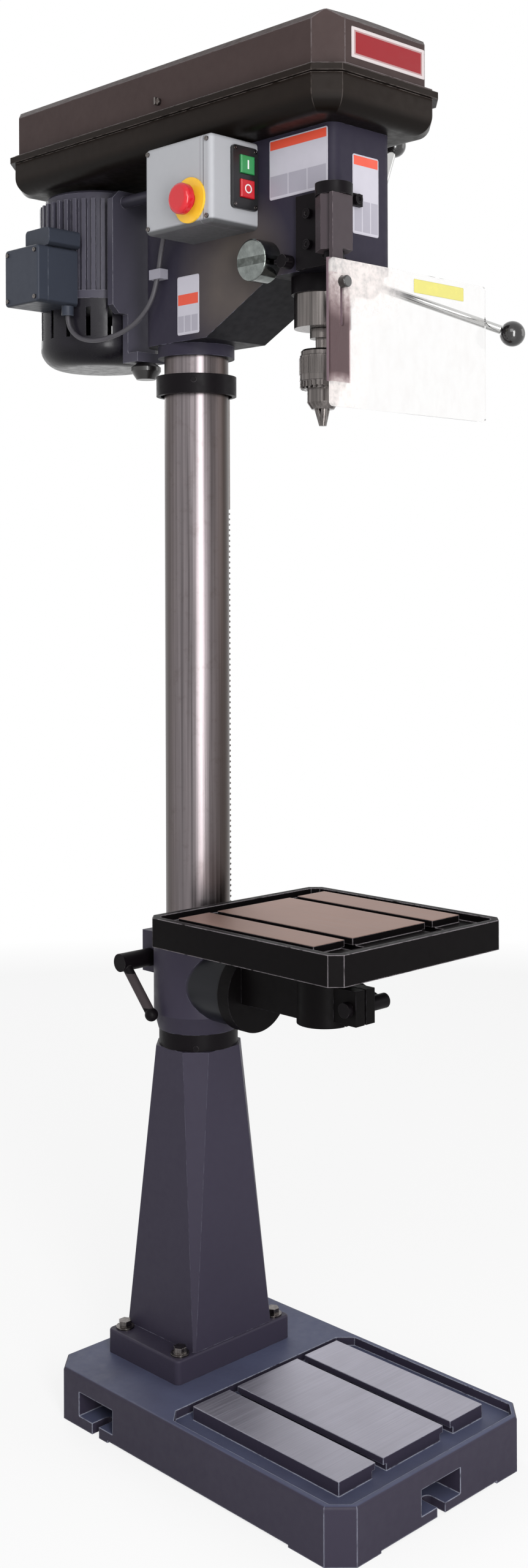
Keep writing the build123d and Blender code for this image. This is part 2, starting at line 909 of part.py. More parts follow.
def make_crank():
    start = pinion_x - worm_length / 2
    end = pinion_x + worm_length / 2
    thread = [(0, start), (worm_radius, start)]
    turns = int(worm_length / worm_thread_pitch)
    for turn in range(turns):
        x = start + worm_thread_pitch * turn
        thread.append((worm_radius, x + worm_thread_pitch / 3))
        thread.append((worm_radius - worm_thread_depth, x + worm_thread_pitch / 2))
        thread.append((worm_radius - worm_thread_depth, x + worm_thread_pitch * 2 / 3))
        thread.append((worm_radius, x + worm_thread_pitch))
    thread += [(worm_radius, end), (0, end)]
    body = turned_x(thread, wheel_y, worm_z)
    arm_x = case_out_x + crank_stand_out
    body += bar_x(crank_shaft_radius, end, arm_x, wheel_y, worm_z)
    body += bar_x(crank_arm_width / 2 + overrun, arm_x - crank_arm_thickness / 2,
                  arm_x + crank_arm_thickness, wheel_y, worm_z)
    body += block(arm_x, arm_x + crank_arm_thickness, wheel_y, wheel_y + crank_arm_length,
                  worm_z - crank_arm_width / 2, worm_z + crank_arm_width / 2)
    pin_y = wheel_y + crank_arm_length
    body += bar_x(crank_arm_width / 2, arm_x, arm_x + crank_arm_thickness, pin_y, worm_z)
    pin_end = arm_x + crank_arm_thickness + gap + grip_length
    body += bar_x(grip_pin_radius, arm_x, pin_end, pin_y, worm_z)
    return body + bar_x(grip_pin_radius + overrun, pin_end + gap, pin_end + gap + overrun, pin_y,
                        worm_z) + bar_x(grip_pin_radius, pin_end, pin_end + gap, pin_y, worm_z)


def make_crank_grip():
    start = case_out_x + crank_stand_out + crank_arm_thickness + gap
    end = start + grip_length
    waist = grip_radius * grip_waist_share
    profile = ((grip_pin_radius + fit, start), (waist, start), (grip_radius, start + grip_length / 3),
               (grip_radius, end - grip_length / 4), (waist, end), (grip_pin_radius + fit, end))
    return turned_x(profile, wheel_y + crank_arm_length, worm_z)


def make_column_lever():
    start = -clamp_lug_half - gap
    hub = bar_x(lever_hub_radius, start - lever_hub_length, start, clamp_bolt_y, clamp_bolt_z)
    bolt = bar_x(clamp_bolt_radius, start, clamp_lug_half + gap, clamp_bolt_y, clamp_bolt_z)
    nut_end = clamp_lug_half + gap + pedestal_bolt_head_height
    nut = bar_x(lever_hub_radius, clamp_lug_half + gap, nut_end, clamp_bolt_y, clamp_bolt_z)
    lean = math.radians(lever_lean)
    x = start - lever_hub_length + lever_radius + overrun
    tip = (x, clamp_bolt_y - lever_length * math.sin(lean), clamp_bolt_z - lever_length * math.cos(lean))
    arm = rod_between((x, clamp_bolt_y, clamp_bolt_z), tip, lever_radius)
    end = Pos(*tip) * Sphere(lever_radius * lever_ball_share)
    return hub + bolt + nut + arm + end


# Table and arm

def make_arm():
    flange = bar_y(arm_flange_radius, -arm_flange_end, -arm_face_y, 0, tilt_z)
    beam = block(-arm_half_width, arm_half_width, table_centre_y, -arm_flange_end, arm_low_z, arm_top_z)
    hub = post(hub_radius, hub_low_z, hub_top_z, 0, table_centre_y)
    lugs = block(-hub_lug_half, hub_lug_half, table_centre_y - hub_lug_reach, table_centre_y,
                 hub_lug_low_z, hub_lug_top_z)
    inner = arm_half_width - arm_wall
    hollow = block(-inner, inner, table_centre_y + hub_radius + arm_wall, -arm_flange_end,
                   arm_low_z - overrun, arm_top_z - arm_wall)
    body = flange + beam + hub + lugs - hollow
    body -= post(table_post_radius + fit, hub_low_z - overrun, hub_top_z + overrun, 0, table_centre_y)
    body -= block(-hub_slit / 2, hub_slit / 2, table_centre_y - hub_lug_reach - overrun,
                  table_centre_y, hub_low_z - overrun, hub_top_z + overrun)
    body -= bar_x(hub_bolt_radius + fit, -hub_lug_half - overrun, hub_lug_half + overrun,
                  table_centre_y - hub_bolt_reach, hub_bolt_z)
    return body - bar_y(tilt_bolt_radius + fit, -arm_flange_end - overrun, -arm_face_y + overrun,
                        0, tilt_z)


def make_tilt_bolt():
    shank = bar_y(tilt_bolt_radius, -arm_flange_end, -boss_face_y + tilt_bolt_thread, 0, tilt_z)
    head = Pos(0, -arm_flange_end, tilt_z) * Rot(right_angle, 0, 0) * extrude(
        RegularPolygon(tilt_bolt_head, 6), tilt_bolt_head_height)
    return shank + head


def make_table():
    front = table_centre_y - table_front
    back = table_centre_y + table_front
    half = table_half_width
    body = cut_corner_block(-half, half, front, back, table_low_z, table_z, table_corner)
    rim = half - table_rim
    body -= cut_corner_block(-rim, rim, front + table_rim, back - table_rim,
                             table_z - table_trough_depth, table_z + overrun, table_corner - table_rim / 2)
    body += block(-table_pad_half_width, table_pad_half_width, table_centre_y - table_pad_front,
                  table_centre_y + table_pad_back, table_z - table_trough_depth, table_z)
    wall = half - table_wall
    under = table_z - table_trough_depth - table_skin
    body -= cut_corner_block(-wall, wall, front + table_wall, back - table_wall,
                             table_low_z - overrun, under, table_corner - table_wall / 2)
    for side in (-1, 1):
        body += slot_rib(side, front, back)
    body += post(table_boss_radius, hub_top_z + gap, under + overrun, 0, table_centre_y)
    for side in (-1, 1):
        body -= t_slot(side * table_slot_offset, table_centre_y - table_pad_front - slot_width,
                       table_centre_y + table_pad_back + slot_width, table_z)
    return body - post(table_post_radius, hub_top_z, table_z - table_trough_depth - slot_lip,
                       0, table_centre_y)


def slot_rib(side, front, back):
    """The thick rib under one of the table's slots."""
    centre = side * table_slot_offset
    return block(centre - table_slot_rib_half, centre + table_slot_rib_half, front + table_wall,
                 back - table_wall, table_z - 2 * slot_lip - table_slot_rib_skin,
                 table_z - table_trough_depth)


def make_table_post():
    return post(table_post_radius, hub_low_z + overrun, table_z - table_trough_depth - slot_lip,
                0, table_centre_y)


def make_table_lever():
    y = table_centre_y - hub_bolt_reach
    start = hub_lug_half + gap
    hub = bar_x(hub_lever_hub_radius, start, start + hub_lever_hub_length, y, hub_bolt_z)
    bolt = bar_x(hub_bolt_radius, -start, start, y, hub_bolt_z)
    nut = bar_x(hub_lever_hub_radius, -start - pedestal_bolt_head_height, -start, y, hub_bolt_z)
    x = start + hub_lever_hub_length - hub_lever_radius - overrun
    lean = math.radians(hub_lever_lean)
    tip = (x, y + hub_lever_length * math.cos(lean), hub_bolt_z + hub_lever_length * math.sin(lean))
    arm = rod_between((x, y, hub_bolt_z), tip, hub_lever_radius)
    return hub + bolt + nut + arm + Pos(*tip) * Sphere(hub_lever_radius * lever_ball_share)


# Head casting

def make_head():
    half = head_half_width
    profile = ((-head_front, head_nose_z), (-head_slope_end, head_nose_z),
               (-head_slope_start, head_low_z), (head_back, head_low_z), (head_back, head_top_z),
               (-head_front, head_top_z))
    plan = block(-half, half, -head_front, head_back, head_low_z, head_top_z)
    plan = fillet(plan.edges().filter_by(Axis.Z).sort_by(Axis.Y)[:2], head_front_round)
    plan = fillet(plan.edges().filter_by(Axis.Z).sort_by(Axis.Y)[-2:], head_back_round)
    body = side_slab(profile, -half, half) & plan
    body += post(socket_radius, socket_z, head_low_z + overrun)
    body -= post(column_radius, socket_z - overrun, column_top_z)
    inner = half - head_wall
    body -= block(-inner, inner, -head_cavity_front, -head_cavity_back, head_cavity_floor_z,
                  head_top_z + overrun)
    body -= spindle_spaces()
    body -= feed_spaces()
    reach = head_back - rod_reach - motor_travel - air
    for x in (-rod_offset, rod_offset):
        body -= bar_y(rod_radius + fit, reach, head_back + overrun, x, rod_z)
    return body - bar_x(lock_radius + fit, -half - overrun, -quill_radius + overrun, -lock_y, lock_z)


def spindle_spaces():
    """The quill's bore and the seat of the pulley's bearings above it."""
    space = post(quill_radius + fit, head_nose_z - overrun, quill_room_z, 0, -throat)
    space += post(pulley_hub_radius + air, quill_room_z - overrun, head_top_z, 0, -throat)
    return space + post(pulley_bearing_radius, bearing_shelf_z, head_top_z + overrun, 0, -throat)


def feed_spaces():
    """The cross bore of the feed shaft, wide enough on the right for the pinion to go in."""
    side = head_half_width + overrun
    side_gap = feed_pinion_width / 2 + air
    space = bar_x(feed_shaft_radius + fit, -side, 0, -feed_y, feed_z)
    space += bar_x(feed_tip_radius + fit, 0, side, -feed_y, feed_z)
    return space + bar_x(feed_tip_radius + air, -side_gap, side_gap, -feed_y, feed_z)


def make_lock_knob():
    start = -head_half_width - gap
    end = start - lock_knob_length
    stem = bar_x(lock_radius, start, -quill_radius - gap, -lock_y, lock_z)
    knob = bar_x(lock_knob_radius, end, start, -lock_y, lock_z)
    wing = block(end, start - lock_knob_length / 2, -lock_y - lock_knob_radius * wing_share,
                 -lock_y + lock_knob_radius * wing_share, lock_z - lock_radius / 2,
                 lock_z + lock_radius / 2)
    return stem + knob + wing


# Quill, spindle and chuck

def make_quill():
    body = post(quill_radius, quill_low_z, quill_top_z, 0, -throat)
    body -= post(quill_bore, quill_low_z - overrun, quill_top_z + overrun, 0, -throat)
    for low, high in ((quill_low_z - overrun, quill_low_z + bearing_width),
                      (quill_top_z - bearing_width, quill_top_z + overrun)):
        body -= post(bearing_low_radius, low, high, 0, -throat)
    half = feed_pinion_width / 2 + air
    pitch = math.pi * feed_module
    face_y = -throat + quill_radius
    gaps = []
    for index in range(quill_gap_first, quill_gap_last + 1):
        z = feed_z + pitch * index
        outline = [(face_y + depth, z + along) for along, depth in rack_gap(feed_module)]
        gaps.append(side_slab(outline, -half, half))
    return body - gaps


quill_gap_first = -2
quill_gap_last = int((quill_travel + 4 * feed_module) / (math.pi * feed_module)) + 1


def make_quill_bearings():
    rings = [ring(bearing_low_radius, spindle_radius + fit, low, low + bearing_width, 0, -throat)
             for low in (quill_low_z, quill_top_z - bearing_width)]
    return Compound(children=rings)


def make_quill_seal():
    return ring(seal_radius, quill_radius + fit, head_nose_z - seal_height, head_nose_z, 0, -throat)


def splined(root, tip, width, z0, z1):
    """A round bar with straight ribs along it."""
    body = post(root, z0, z1, 0, -throat)
    for index in range(spline_count):
        turn = Pos(0, -throat, 0) * Rot(0, 0, 2 * half_turn * index / spline_count)
        body += turn * block(0, tip, -width / 2, width / 2, z0, z1)
    return body


def make_spindle():
    body = post(arbor_radius, chuck_top_z - arbor_depth, spindle_nose_z + overrun, 0, -throat)
    body += post(spindle_nose_radius, spindle_nose_z, quill_low_z - gap, 0, -throat)
    body += post(spindle_radius, spindle_nose_z, quill_top_z + overrun, 0, -throat)
    return body + splined(spline_root_radius, spline_radius, spline_width, quill_top_z, spindle_top_z)


def jaw_place(index):
    """The frame of one jaw's sloping axis: its Z runs up along the jaw."""
    turn = 2 * half_turn * index / jaw_count
    return (Pos(0, -throat, jaw_centre_z) * Rot(0, 0, turn) * Pos(jaw_centre, 0, 0)
            * Rot(0, jaw_angle, 0))


def jaw_rod(index, radius, up, down):
    """A round rod on one jaw's axis."""
    return jaw_place(index) * Pos(0, 0, (up - down) / 2) * Cylinder(radius, up + down)


def make_chuck_body():
    profile = ((0, nose_low_z), (nose_tip_radius, nose_low_z), (nose_radius, nose_low_z + nose_taper),
               (nose_radius, sleeve_z - gap), (chuck_core_radius, sleeve_z - gap),
               (chuck_core_radius, sleeve_top_z + gap), (chuck_cap_radius, sleeve_top_z + gap),
               (chuck_cap_radius, chuck_top_z - chuck_cap_height / 3),
               (chuck_cap_radius - chuck_cap_height / 3, chuck_top_z), (0, chuck_top_z))
    body = turned(profile, 0, -throat)
    body -= post(arbor_radius, chuck_top_z - arbor_depth, chuck_top_z + overrun, 0, -throat)
    for index in range(jaw_count):
        body -= jaw_rod(index, jaw_radius + jaw_clear, jaw_length + jaw_travel, jaw_length)
    return body


def make_chuck_sleeve():
    inner = chuck_core_radius + fit
    bore = chuck_radius - sleeve_wall
    step_z = sleeve_z + sleeve_tooth_height + overrun
    roof_z = sleeve_top_z - sleeve_rim
    profile = ((inner, sleeve_z), (chuck_cap_radius, sleeve_z), (chuck_cap_radius, step_z),
               (chuck_radius, step_z), (chuck_radius, sleeve_top_z), (inner, sleeve_top_z),
               (inner, roof_z), (bore, roof_z), (bore, sleeve_z + sleeve_foot), (inner, sleeve_z + sleeve_foot))
    body = turned(profile, 0, -throat)
    notches = []
    for index in range(sleeve_tooth_count):
        turn = Pos(0, -throat, 0) * Rot(0, 0, 2 * half_turn * index / sleeve_tooth_count)
        notches.append(turn * block(bore - sleeve_wall, chuck_radius + overrun, -sleeve_tooth_width / 2,
                                    sleeve_tooth_width / 2, sleeve_z - overrun,
                                    sleeve_z + sleeve_foot - overrun))
    return body - notches


def make_jaw(index):
    rod = jaw_rod(index, jaw_radius, jaw_length, jaw_length)
    turn = Pos(0, -throat, 0) * Rot(0, 0, 2 * half_turn * index / jaw_count)
    reach = jaw_length
    cut = math.tan(math.radians(half_turn / jaw_count))
    inset = jaw_face_gap / 2
    sector = turn * slab(((inset, 0), (reach, (reach - inset) * cut), (reach, -(reach - inset) * cut)),
                         jaw_low_z, jaw_low_z + jaw_length)
    return rod & sector


# Feed set

def make_feed_shaft():
    gear = side_slab([(-feed_y - u, feed_z + v) for u, v in pinion_points(feed_teeth, feed_module)],
                     -feed_pinion_width / 2, feed_pinion_width / 2)
    left_end = -head_half_width - spring_cup_depth + spring_cup_wall + gap
    body = gear + bar_x(feed_shaft_radius, left_end, hub_shaft_x - feed_shaft_radius, -feed_y, feed_z)
    return body + bar_x(feed_tip_radius, feed_collar_x, feed_hub_start_x - gap, -feed_y, feed_z)


def make_feed_hub():
    body = bar_x(feed_hub_radius, feed_hub_start_x, hub_shaft_x, -feed_y, feed_z)
    body = chamfer(body.faces().sort_by(Axis.X)[-1].edges(), feed_hub_radius / 8)
    body -= bar_x(feed_shaft_radius, feed_hub_start_x - overrun, hub_shaft_x - feed_shaft_radius,
                  -feed_y, feed_z)
    for index in range(spoke_count):
        body -= spoke_rod(index, spoke_radius, 0)
    return body


def spoke_ends(index):
    """Where one spoke starts in the hub and where its knob's centre is."""
    angle = math.radians(2 * half_turn * index / spoke_count - spoke_angle)
    root = feed_hub_radius - spoke_radius
    across = -math.cos(angle)
    up = math.sin(angle)
    return ((spoke_root_x, -feed_y + root * across, feed_z + root * up),
            (knob_x, -feed_y + spoke_reach * across, feed_z + spoke_reach * up))


def spoke_rod(index, radius, short):
    start, end = spoke_ends(index)
    way = (Vector(*end) - Vector(*start)).normalized()
    stop = Vector(*end) - way * short
    return rod_between(start, (stop.X, stop.Y, stop.Z), radius)


def make_feed_spokes():
    return Compound(children=[spoke_rod(index, spoke_radius, knob_radius / 3)
                              for index in range(spoke_count)])


def make_feed_knobs():
    knobs = []
    for index in range(spoke_count):
        end = spoke_ends(index)[1]
        knobs.append(Pos(*end) * Sphere(knob_radius) - spoke_rod(index, spoke_radius, knob_radius / 3))
    return Compound(children=knobs)


def make_stop_ring():
    body = bar_x(stop_ring_radius, stop_ring_x, stop_ring_x + stop_ring_width, -feed_y, feed_z)
    body = chamfer(body.faces().sort_by(Axis.X)[-1].edges(), stop_ring_width / 6)
    body -= bar_x(feed_tip_radius + fit, stop_ring_x - overrun, stop_ring_x + stop_ring_width + overrun,
                  -feed_y, feed_z)
    return body - post(stop_screw_radius + fit, feed_z, feed_z + stop_ring_radius + overrun,
                       stop_ring_x + stop_ring_width / 2, -feed_y)


def make_stop_knob():
    x = stop_ring_x + stop_ring_width / 2
    foot = feed_z + stop_ring_radius + gap
    stem = post(stop_screw_radius, feed_z + feed_tip_radius + gap, foot, x, -feed_y)
    return stem + post(stop_knob_radius, foot, foot + stop_knob_length, x, -feed_y)


def make_spring_cup():
    out = -head_half_width - spring_cup_depth
    body = bar_x(spring_cup_radius, out, -head_half_width, -feed_y, feed_z)
    body = fillet(body.faces().sort_by(Axis.X)[0].edges(), spring_cup_wall)
    return body - bar_x(spring_cup_radius - spring_cup_wall, out + spring_cup_wall,
                        -head_half_width + overrun, -feed_y, feed_z)


def make_return_spring():
    inner = feed_shaft_radius + air + spring_strip
    outer = spring_cup_radius - spring_cup_wall - spring_strip
    steps = spring_turns * spring_steps
    curve = []
    for step in range(steps + 1):
        radius = inner + (outer - inner) * step / steps
        angle = 2 * math.pi * step / spring_steps
        curve.append((radius, angle))
    edge = [((r + spring_strip / 2) * math.cos(a), (r + spring_strip / 2) * math.sin(a)) for r, a in curve]
    edge += [((r - spring_strip / 2) * math.cos(a), (r - spring_strip / 2) * math.sin(a))
             for r, a in reversed(curve)]
    side = head_half_width + spring_cup_depth - spring_cup_wall
    return side_slab([(-feed_y + u, feed_z + v) for u, v in edge], -side + spring_strip,
                     -head_half_width - spring_strip)


# Belt drive

def stepped_profile(radii, bore):
    """Half the section of a stepped pulley, with one groove a step."""
    points = [(bore, pulley_z)]
    for index, radius in enumerate(radii):
        low = pulley_z + step_height * index
        middle = low + step_height / 2
        points += [(radius, low), (radius, middle - groove_mouth / 2),
                   (radius - groove_depth, middle - groove_floor / 2),
                   (radius - groove_depth, middle + groove_floor / 2),
                   (radius, middle + groove_mouth / 2), (radius, low + step_height)]
    return points + [(bore, pulley_top_z)]


def make_spindle_pulley():
    body = turned(stepped_profile(step_radii, 0), 0, -throat)
    body += post(pulley_hub_radius, bearing_shelf_z, pulley_z + overrun, 0, -throat)
    grip_top = bearing_shelf_z + spline_grip
    body -= post(spindle_radius + gap, grip_top, pulley_top_z + overrun, 0, -throat)
    return body - splined(spline_root_radius + spline_clear, spline_radius + spline_clear,
                          spline_width + 2 * spline_clear, bearing_shelf_z - overrun, grip_top + overrun)


def make_pulley_bearings():
    rings = [ring(pulley_bearing_radius, pulley_hub_radius + fit, low, low + bearing_width, 0, -throat)
             for low in (bearing_shelf_z, head_top_z - bearing_width)]
    return Compound(children=rings)


def make_idler_post():
    half = idler_plate_half
    low = head_top_z + sheet
    body = block(-half, half, -idler_y - half, -idler_y + half, low, low + idler_plate_thickness)
    body += post(idler_shaft_radius, low, pulley_top_z + overrun, 0, -idler_y)
    return body + post(idler_shaft_radius * collar_share, low, pulley_z - belt_clear, 0, -idler_y)


def make_idler_pulley():
    return turned(stepped_profile(tuple(reversed(step_radii)), idler_shaft_radius + fit), 0, -idler_y)


def make_motor_pulley():
    body = turned(stepped_profile(step_radii, motor_shaft_radius), 0, motor_y)
    return body + ring(pulley_hub_radius, motor_shaft_radius, head_top_z + 2 * sheet + air,
                       pulley_z, 0, motor_y)


def make_belt(front_y, front_radius, back_y, back_radius, step):
    """A V-belt round two pulleys that stand one behind the other."""
    z = pulley_z + step_height * (step + 1 / 2)
    r0 = front_radius - belt_height / 2
    r1 = back_radius - belt_height / 2
    lean = (r0 - r1) / (back_y - front_y)
    side = math.sqrt(1 - lean * lean)
    right0 = (side * r0, front_y + lean * r0, z)
    right1 = (side * r1, back_y + lean * r1, z)
    left0 = (-right0[0], right0[1], z)
    left1 = (-right1[0], right1[1], z)
    path = Wire([Line(right0, right1), ThreePointArc(right1, (0, back_y + r1, z), left1),
                 Line(left1, left0), ThreePointArc(left0, (0, front_y - r0, z), right0)])
    slope = (groove_mouth - groove_floor) / 2 / groove_depth
    outer = groove_mouth / 2 - belt_clear
    inner = outer - slope * belt_height
    half = belt_height / 2
    plane = Plane(origin=right0, x_dir=(side, lean, 0), z_dir=(-lean, side, 0))
    section = plane * make_face(Polyline((-half, -inner), (half, -outer), (half, outer), (-half, inner),
                                         close=True))
    return sweep(section, path=path)


def make_spindle_belt():
    step = front_belt_step_count
    return make_belt(-throat, step_radii[step], -idler_y, step_radii[-1 - step], step)


def make_motor_belt():
    step = rear_belt_step_count
    return make_belt(-idler_y, step_radii[-1 - step], motor_y, step_radii[step], step)


# Pulley guard

def pan_block(inset, low, high, corner):
    half = pan_half_width - inset
    return cut_corner_block(-half, half, -pan_front + inset, pan_back - inset, low, high, corner)


def make_pan():
    shell = pan_block(0, head_top_z, pan_top_z, guard_corner)
    shell = fillet(shell.faces().sort_by(Axis.Z)[0].edges(), pan_round)
    flange = pan_block(-pan_flange_out, pan_top_z - pan_flange_height, pan_top_z, guard_corner)
    space = pan_block(sheet, head_top_z + sheet, pan_top_z + overrun, guard_corner - sheet / 2)
    space = fillet(space.faces().sort_by(Axis.Z)[0].edges(), pan_round - sheet)
    body = shell + flange - space
    body -= post(pulley_hub_radius + pan_hole_clear, head_top_z - overrun, head_top_z + 2 * overrun + sheet,
                 0, -throat)
    reach = motor_travel + air
    hole = pulley_hub_radius + pan_hole_clear
    for y in (motor_y - reach, motor_y + reach):
        body -= post(hole, head_top_z - overrun, head_top_z + 2 * overrun + sheet, 0, y)
    body -= block(-hole, hole, motor_y - reach, motor_y + reach, head_top_z - overrun,
                  head_top_z + 2 * overrun + sheet)
    for y in hinge_places:
        for start in (y, y + hinge_length - knuckle_length):
            body += knuckle(start, start + knuckle_length, guard_flange_half, -1)
    return body


def knuckle(y0, y1, leaf_x, way):
    """One hinge eye with its leaf. The way is -1 where the leaf lies below the pin, 1 where above."""
    body = bar_y(hinge_radius, y0, y1, hinge_x, hinge_z)
    z = sorted((hinge_z, hinge_z + way * hinge_radius))
    body += block(leaf_x - overrun, hinge_x, y0, y1, z[0], z[1])
    return body - bar_y(hinge_pin_radius + (fit if way > 0 else 0), y0 - overrun, y1 + overrun,
                        hinge_x, hinge_z)


def make_hinge_pins():
    return Compound(children=[bar_y(hinge_pin_radius, y, y + hinge_length, hinge_x, hinge_z)
                              for y in hinge_places])


def lid_shape(inset):
    """The lid's outside, or the same drawn in on every side and open below."""
    half = lid_half_width - inset
    front = -lid_front + inset
    back = lid_back - inset
    top = lid_top_z - inset
    crown = top + lid_crown
    low = lid_z - (overrun if inset else 0)
    arch = make_face([
        Line((-half, low), (-half, top - lid_bevel)), Line((-half, top - lid_bevel), (-half + lid_bevel, top)),
        ThreePointArc((-half + lid_bevel, top), (0, crown), (half - lid_bevel, top)),
        Line((half - lid_bevel, top), (half, top - lid_bevel)), Line((half, top - lid_bevel), (half, low)),
        Line((half, low), (-half, low))])
    body = extrude(Plane.XZ.offset(-front) * arch, back - front, dir=(0, 1, 0))
    body &= cut_corner_block(-half, half, front, back, low - overrun, crown + overrun,
                             lid_corner - inset / 2)
    turn = lid_back_round * (1 - math.cos(math.radians(right_angle / 2)))
    side = make_face([
        Line((front, low), (front, top - lid_bevel)),
        Line((front, top - lid_bevel), (front + lid_bevel + 2 * lid_crown, crown)),
        Line((front + lid_bevel + 2 * lid_crown, crown), (back - lid_back_round, crown)),
        ThreePointArc((back - lid_back_round, crown), (back - turn, crown - turn),
                      (back, crown - lid_back_round)),
        Line((back, crown - lid_back_round), (back, low)), Line((back, low), (front, low))])
    return body & extrude(Plane.YZ.offset(-half) * side, 2 * half, dir=(1, 0, 0))


def make_lid():
    half = lid_half_width + lid_lip
    lip = cut_corner_block(-half, half, -lid_front - lid_lip, lid_back, lid_z, lid_z + sheet, lid_corner)
    body = lid_shape(0) + lip - lid_shape(sheet)
    for y in hinge_places:
        body += knuckle(y + knuckle_length + gap, y + hinge_length - knuckle_length - gap,
                        lid_half_width + overrun, 1)
    return body - bar_x(latch_stem + fit, -lid_half_width - overrun, -lid_half_width + 2 * sheet,
                        -latch_y, lid_z + latch_up)


def make_latch():
    z = lid_z + latch_up
    knob_face = -lid_half_width - gap
    inside = -lid_half_width + sheet + gap
    body = bar_x(latch_radius, knob_face - latch_length, knob_face, -latch_y, z)
    body += block(knob_face - 2 * latch_length, knob_face - latch_length, -latch_y - latch_stem / 2,
                  -latch_y + latch_stem / 2, z - latch_radius, z + latch_radius)
    body += bar_x(latch_stem, knob_face, inside + sheet, -latch_y, z)
    return body + block(inside, inside + sheet, -latch_y - latch_stem, -latch_y + latch_stem,
                        z - latch_up + 2 * sheet, z + latch_stem)


# Motor

def make_motor_housing():
    fin_width = 2 * math.pi * motor_radius / fin_count * fin_share
    section = Circle(motor_core_radius) + [
        place * Rectangle(motor_radius - motor_core_radius + overrun, fin_width)
        for place in PolarLocations((motor_radius + motor_core_radius) / 2, fin_count)]
    section &= Circle(motor_radius)
    body = Pos(0, motor_y, shield_top_z) * extrude(section, motor_body_top_z - shield_top_z)
    body += post(motor_core_radius, motor_body_top_z, motor_top_z, 0, motor_y)
    body = chamfer(body.faces().sort_by(Axis.Z)[-1].edges(), motor_sheet * 2)
    body += block(-mount_pad_half, mount_pad_half, motor_plate_back, motor_y - motor_bore,
                  shield_top_z + motor_sheet, motor_body_top_z - motor_sheet)
    body -= post(motor_bore, shield_top_z - overrun, motor_body_top_z, 0, motor_y)
    body -= post(motor_bearing_radius, motor_top_z - motor_bearing_width, motor_top_z + overrun, 0, motor_y)
    return body - post(motor_shaft_radius + air, motor_body_top_z - overrun, motor_top_z, 0, motor_y)


def make_motor_shield():
    return ring(motor_radius, motor_bearing_radius, motor_cover_top_z, shield_top_z, 0, motor_y)


def make_motor_bearings():
    rings = [ring(motor_bearing_radius, motor_shaft_radius + fit, low, low + motor_bearing_width, 0, motor_y)
             for low in (motor_cover_top_z, motor_top_z - motor_bearing_width)]
    return Compound(children=rings)


def make_fan_cover():
    body = post(motor_radius, motor_low_z, motor_cover_top_z, 0, motor_y)
    body = fillet(body.faces().sort_by(Axis.Z)[0].edges(), motor_round)
    space = post(motor_radius - motor_sheet, motor_low_z + motor_sheet, motor_cover_top_z + overrun,
                 0, motor_y)
    body -= fillet(space.faces().sort_by(Axis.Z)[0].edges(), motor_round - motor_sheet)
    slots = []
    for index in range(cover_slot_count):
        turn = Pos(0, motor_y, 0) * Rot(0, 0, 2 * half_turn * index / cover_slot_count)
        slots.append(turn * block(motor_core_radius - motor_sheet, motor_radius + overrun,
                                  -cover_slot_width / 2, cover_slot_width / 2, cover_slot_low_z,
                                  cover_slot_top_z))
    return body - slots


def make_stator():
    return ring(motor_bore, stator_bore, stator_low_z, stator_low_z + stator_height, 0, motor_y)


def make_motor_rotor():
    body = post(motor_shaft_radius, fan_z - overrun, pulley_top_z, 0, motor_y)
    body += post(rotor_radius, stator_low_z, stator_low_z + stator_height, 0, motor_y)
    body += post(fan_hub_radius, fan_z, fan_z + fan_height, 0, motor_y)
    for index in range(fan_blades):
        turn = Pos(0, motor_y, 0) * Rot(0, 0, 2 * half_turn * index / fan_blades)
        body += turn * block(0, fan_radius, -fan_blade_thickness / 2, fan_blade_thickness / 2, fan_z,
                             fan_z + fan_height)
    return body


def make_motor_mount():
    half = mount_half_width
    body = block(-half, half, mount_front, motor_plate_back, motor_cover_top_z - mount_foot_half, mount_top_z)
    body = chamfer(body.edges().filter_by(Axis.Y), mount_thickness)
    body += block(motor_knob_x - mount_foot_half, motor_knob_x + mount_foot_half, mount_front,
                  motor_plate_back, mount_low_z, motor_cover_top_z)
    body += block(motor_knob_x - mount_foot_half, motor_knob_x + mount_foot_half, mount_foot_front,
                  mount_front, mount_low_z, mount_low_z + mount_foot_height)
    for x in (-rod_offset, rod_offset):
        body += bar_y(rod_radius, head_back - rod_reach, mount_front + overrun, x, rod_z)
    return body - post(motor_knob_stem + fit, mount_low_z - overrun,
                       mount_low_z + mount_foot_height + overrun, motor_knob_x, motor_knob_y)


def make_motor_knob():
    top = mount_low_z - gap
    low = top - motor_knob_height
    profile = ((0, low), (motor_knob_tip_radius, low), (motor_knob_radius, top - motor_knob_height / 2),
               (motor_knob_radius, top - motor_knob_stem), (motor_knob_tip_radius, top), (0, top))
    body = turned(profile, motor_knob_x, motor_knob_y)
    return body + post(motor_knob_stem, top, mount_low_z + mount_foot_height, motor_knob_x, motor_knob_y)


def box_between(x0, x1, y0, y1, z0, z1, corner):
    """A box with the edges along X rounded."""
    body = block(x0, x1, y0, y1, z0, z1)
    return fillet(body.edges().filter_by(Axis.X), corner)


def make_terminal_box():
    cover_x = -box_out + box_cover_depth
    inner = box_half_width - box_wall
    body = box_between(cover_x, -motor_core_radius, box_y - box_half_width, box_y + box_half_width,
                       box_low_z, box_top_z, box_corner)
    body -= box_between(cover_x - overrun, -motor_core_radius - box_wall, box_y - inner, box_y + inner,
                        box_low_z + box_wall, box_top_z - box_wall, box_corner - box_wall)
    body -= post(motor_radius, motor_low_z, motor_top_z, 0, motor_y)
    return body - post(lead_radius + lead_clear, box_low_z - overrun, box_low_z + box_wall + overrun,
                       -lead_box_x, lead_box_y)


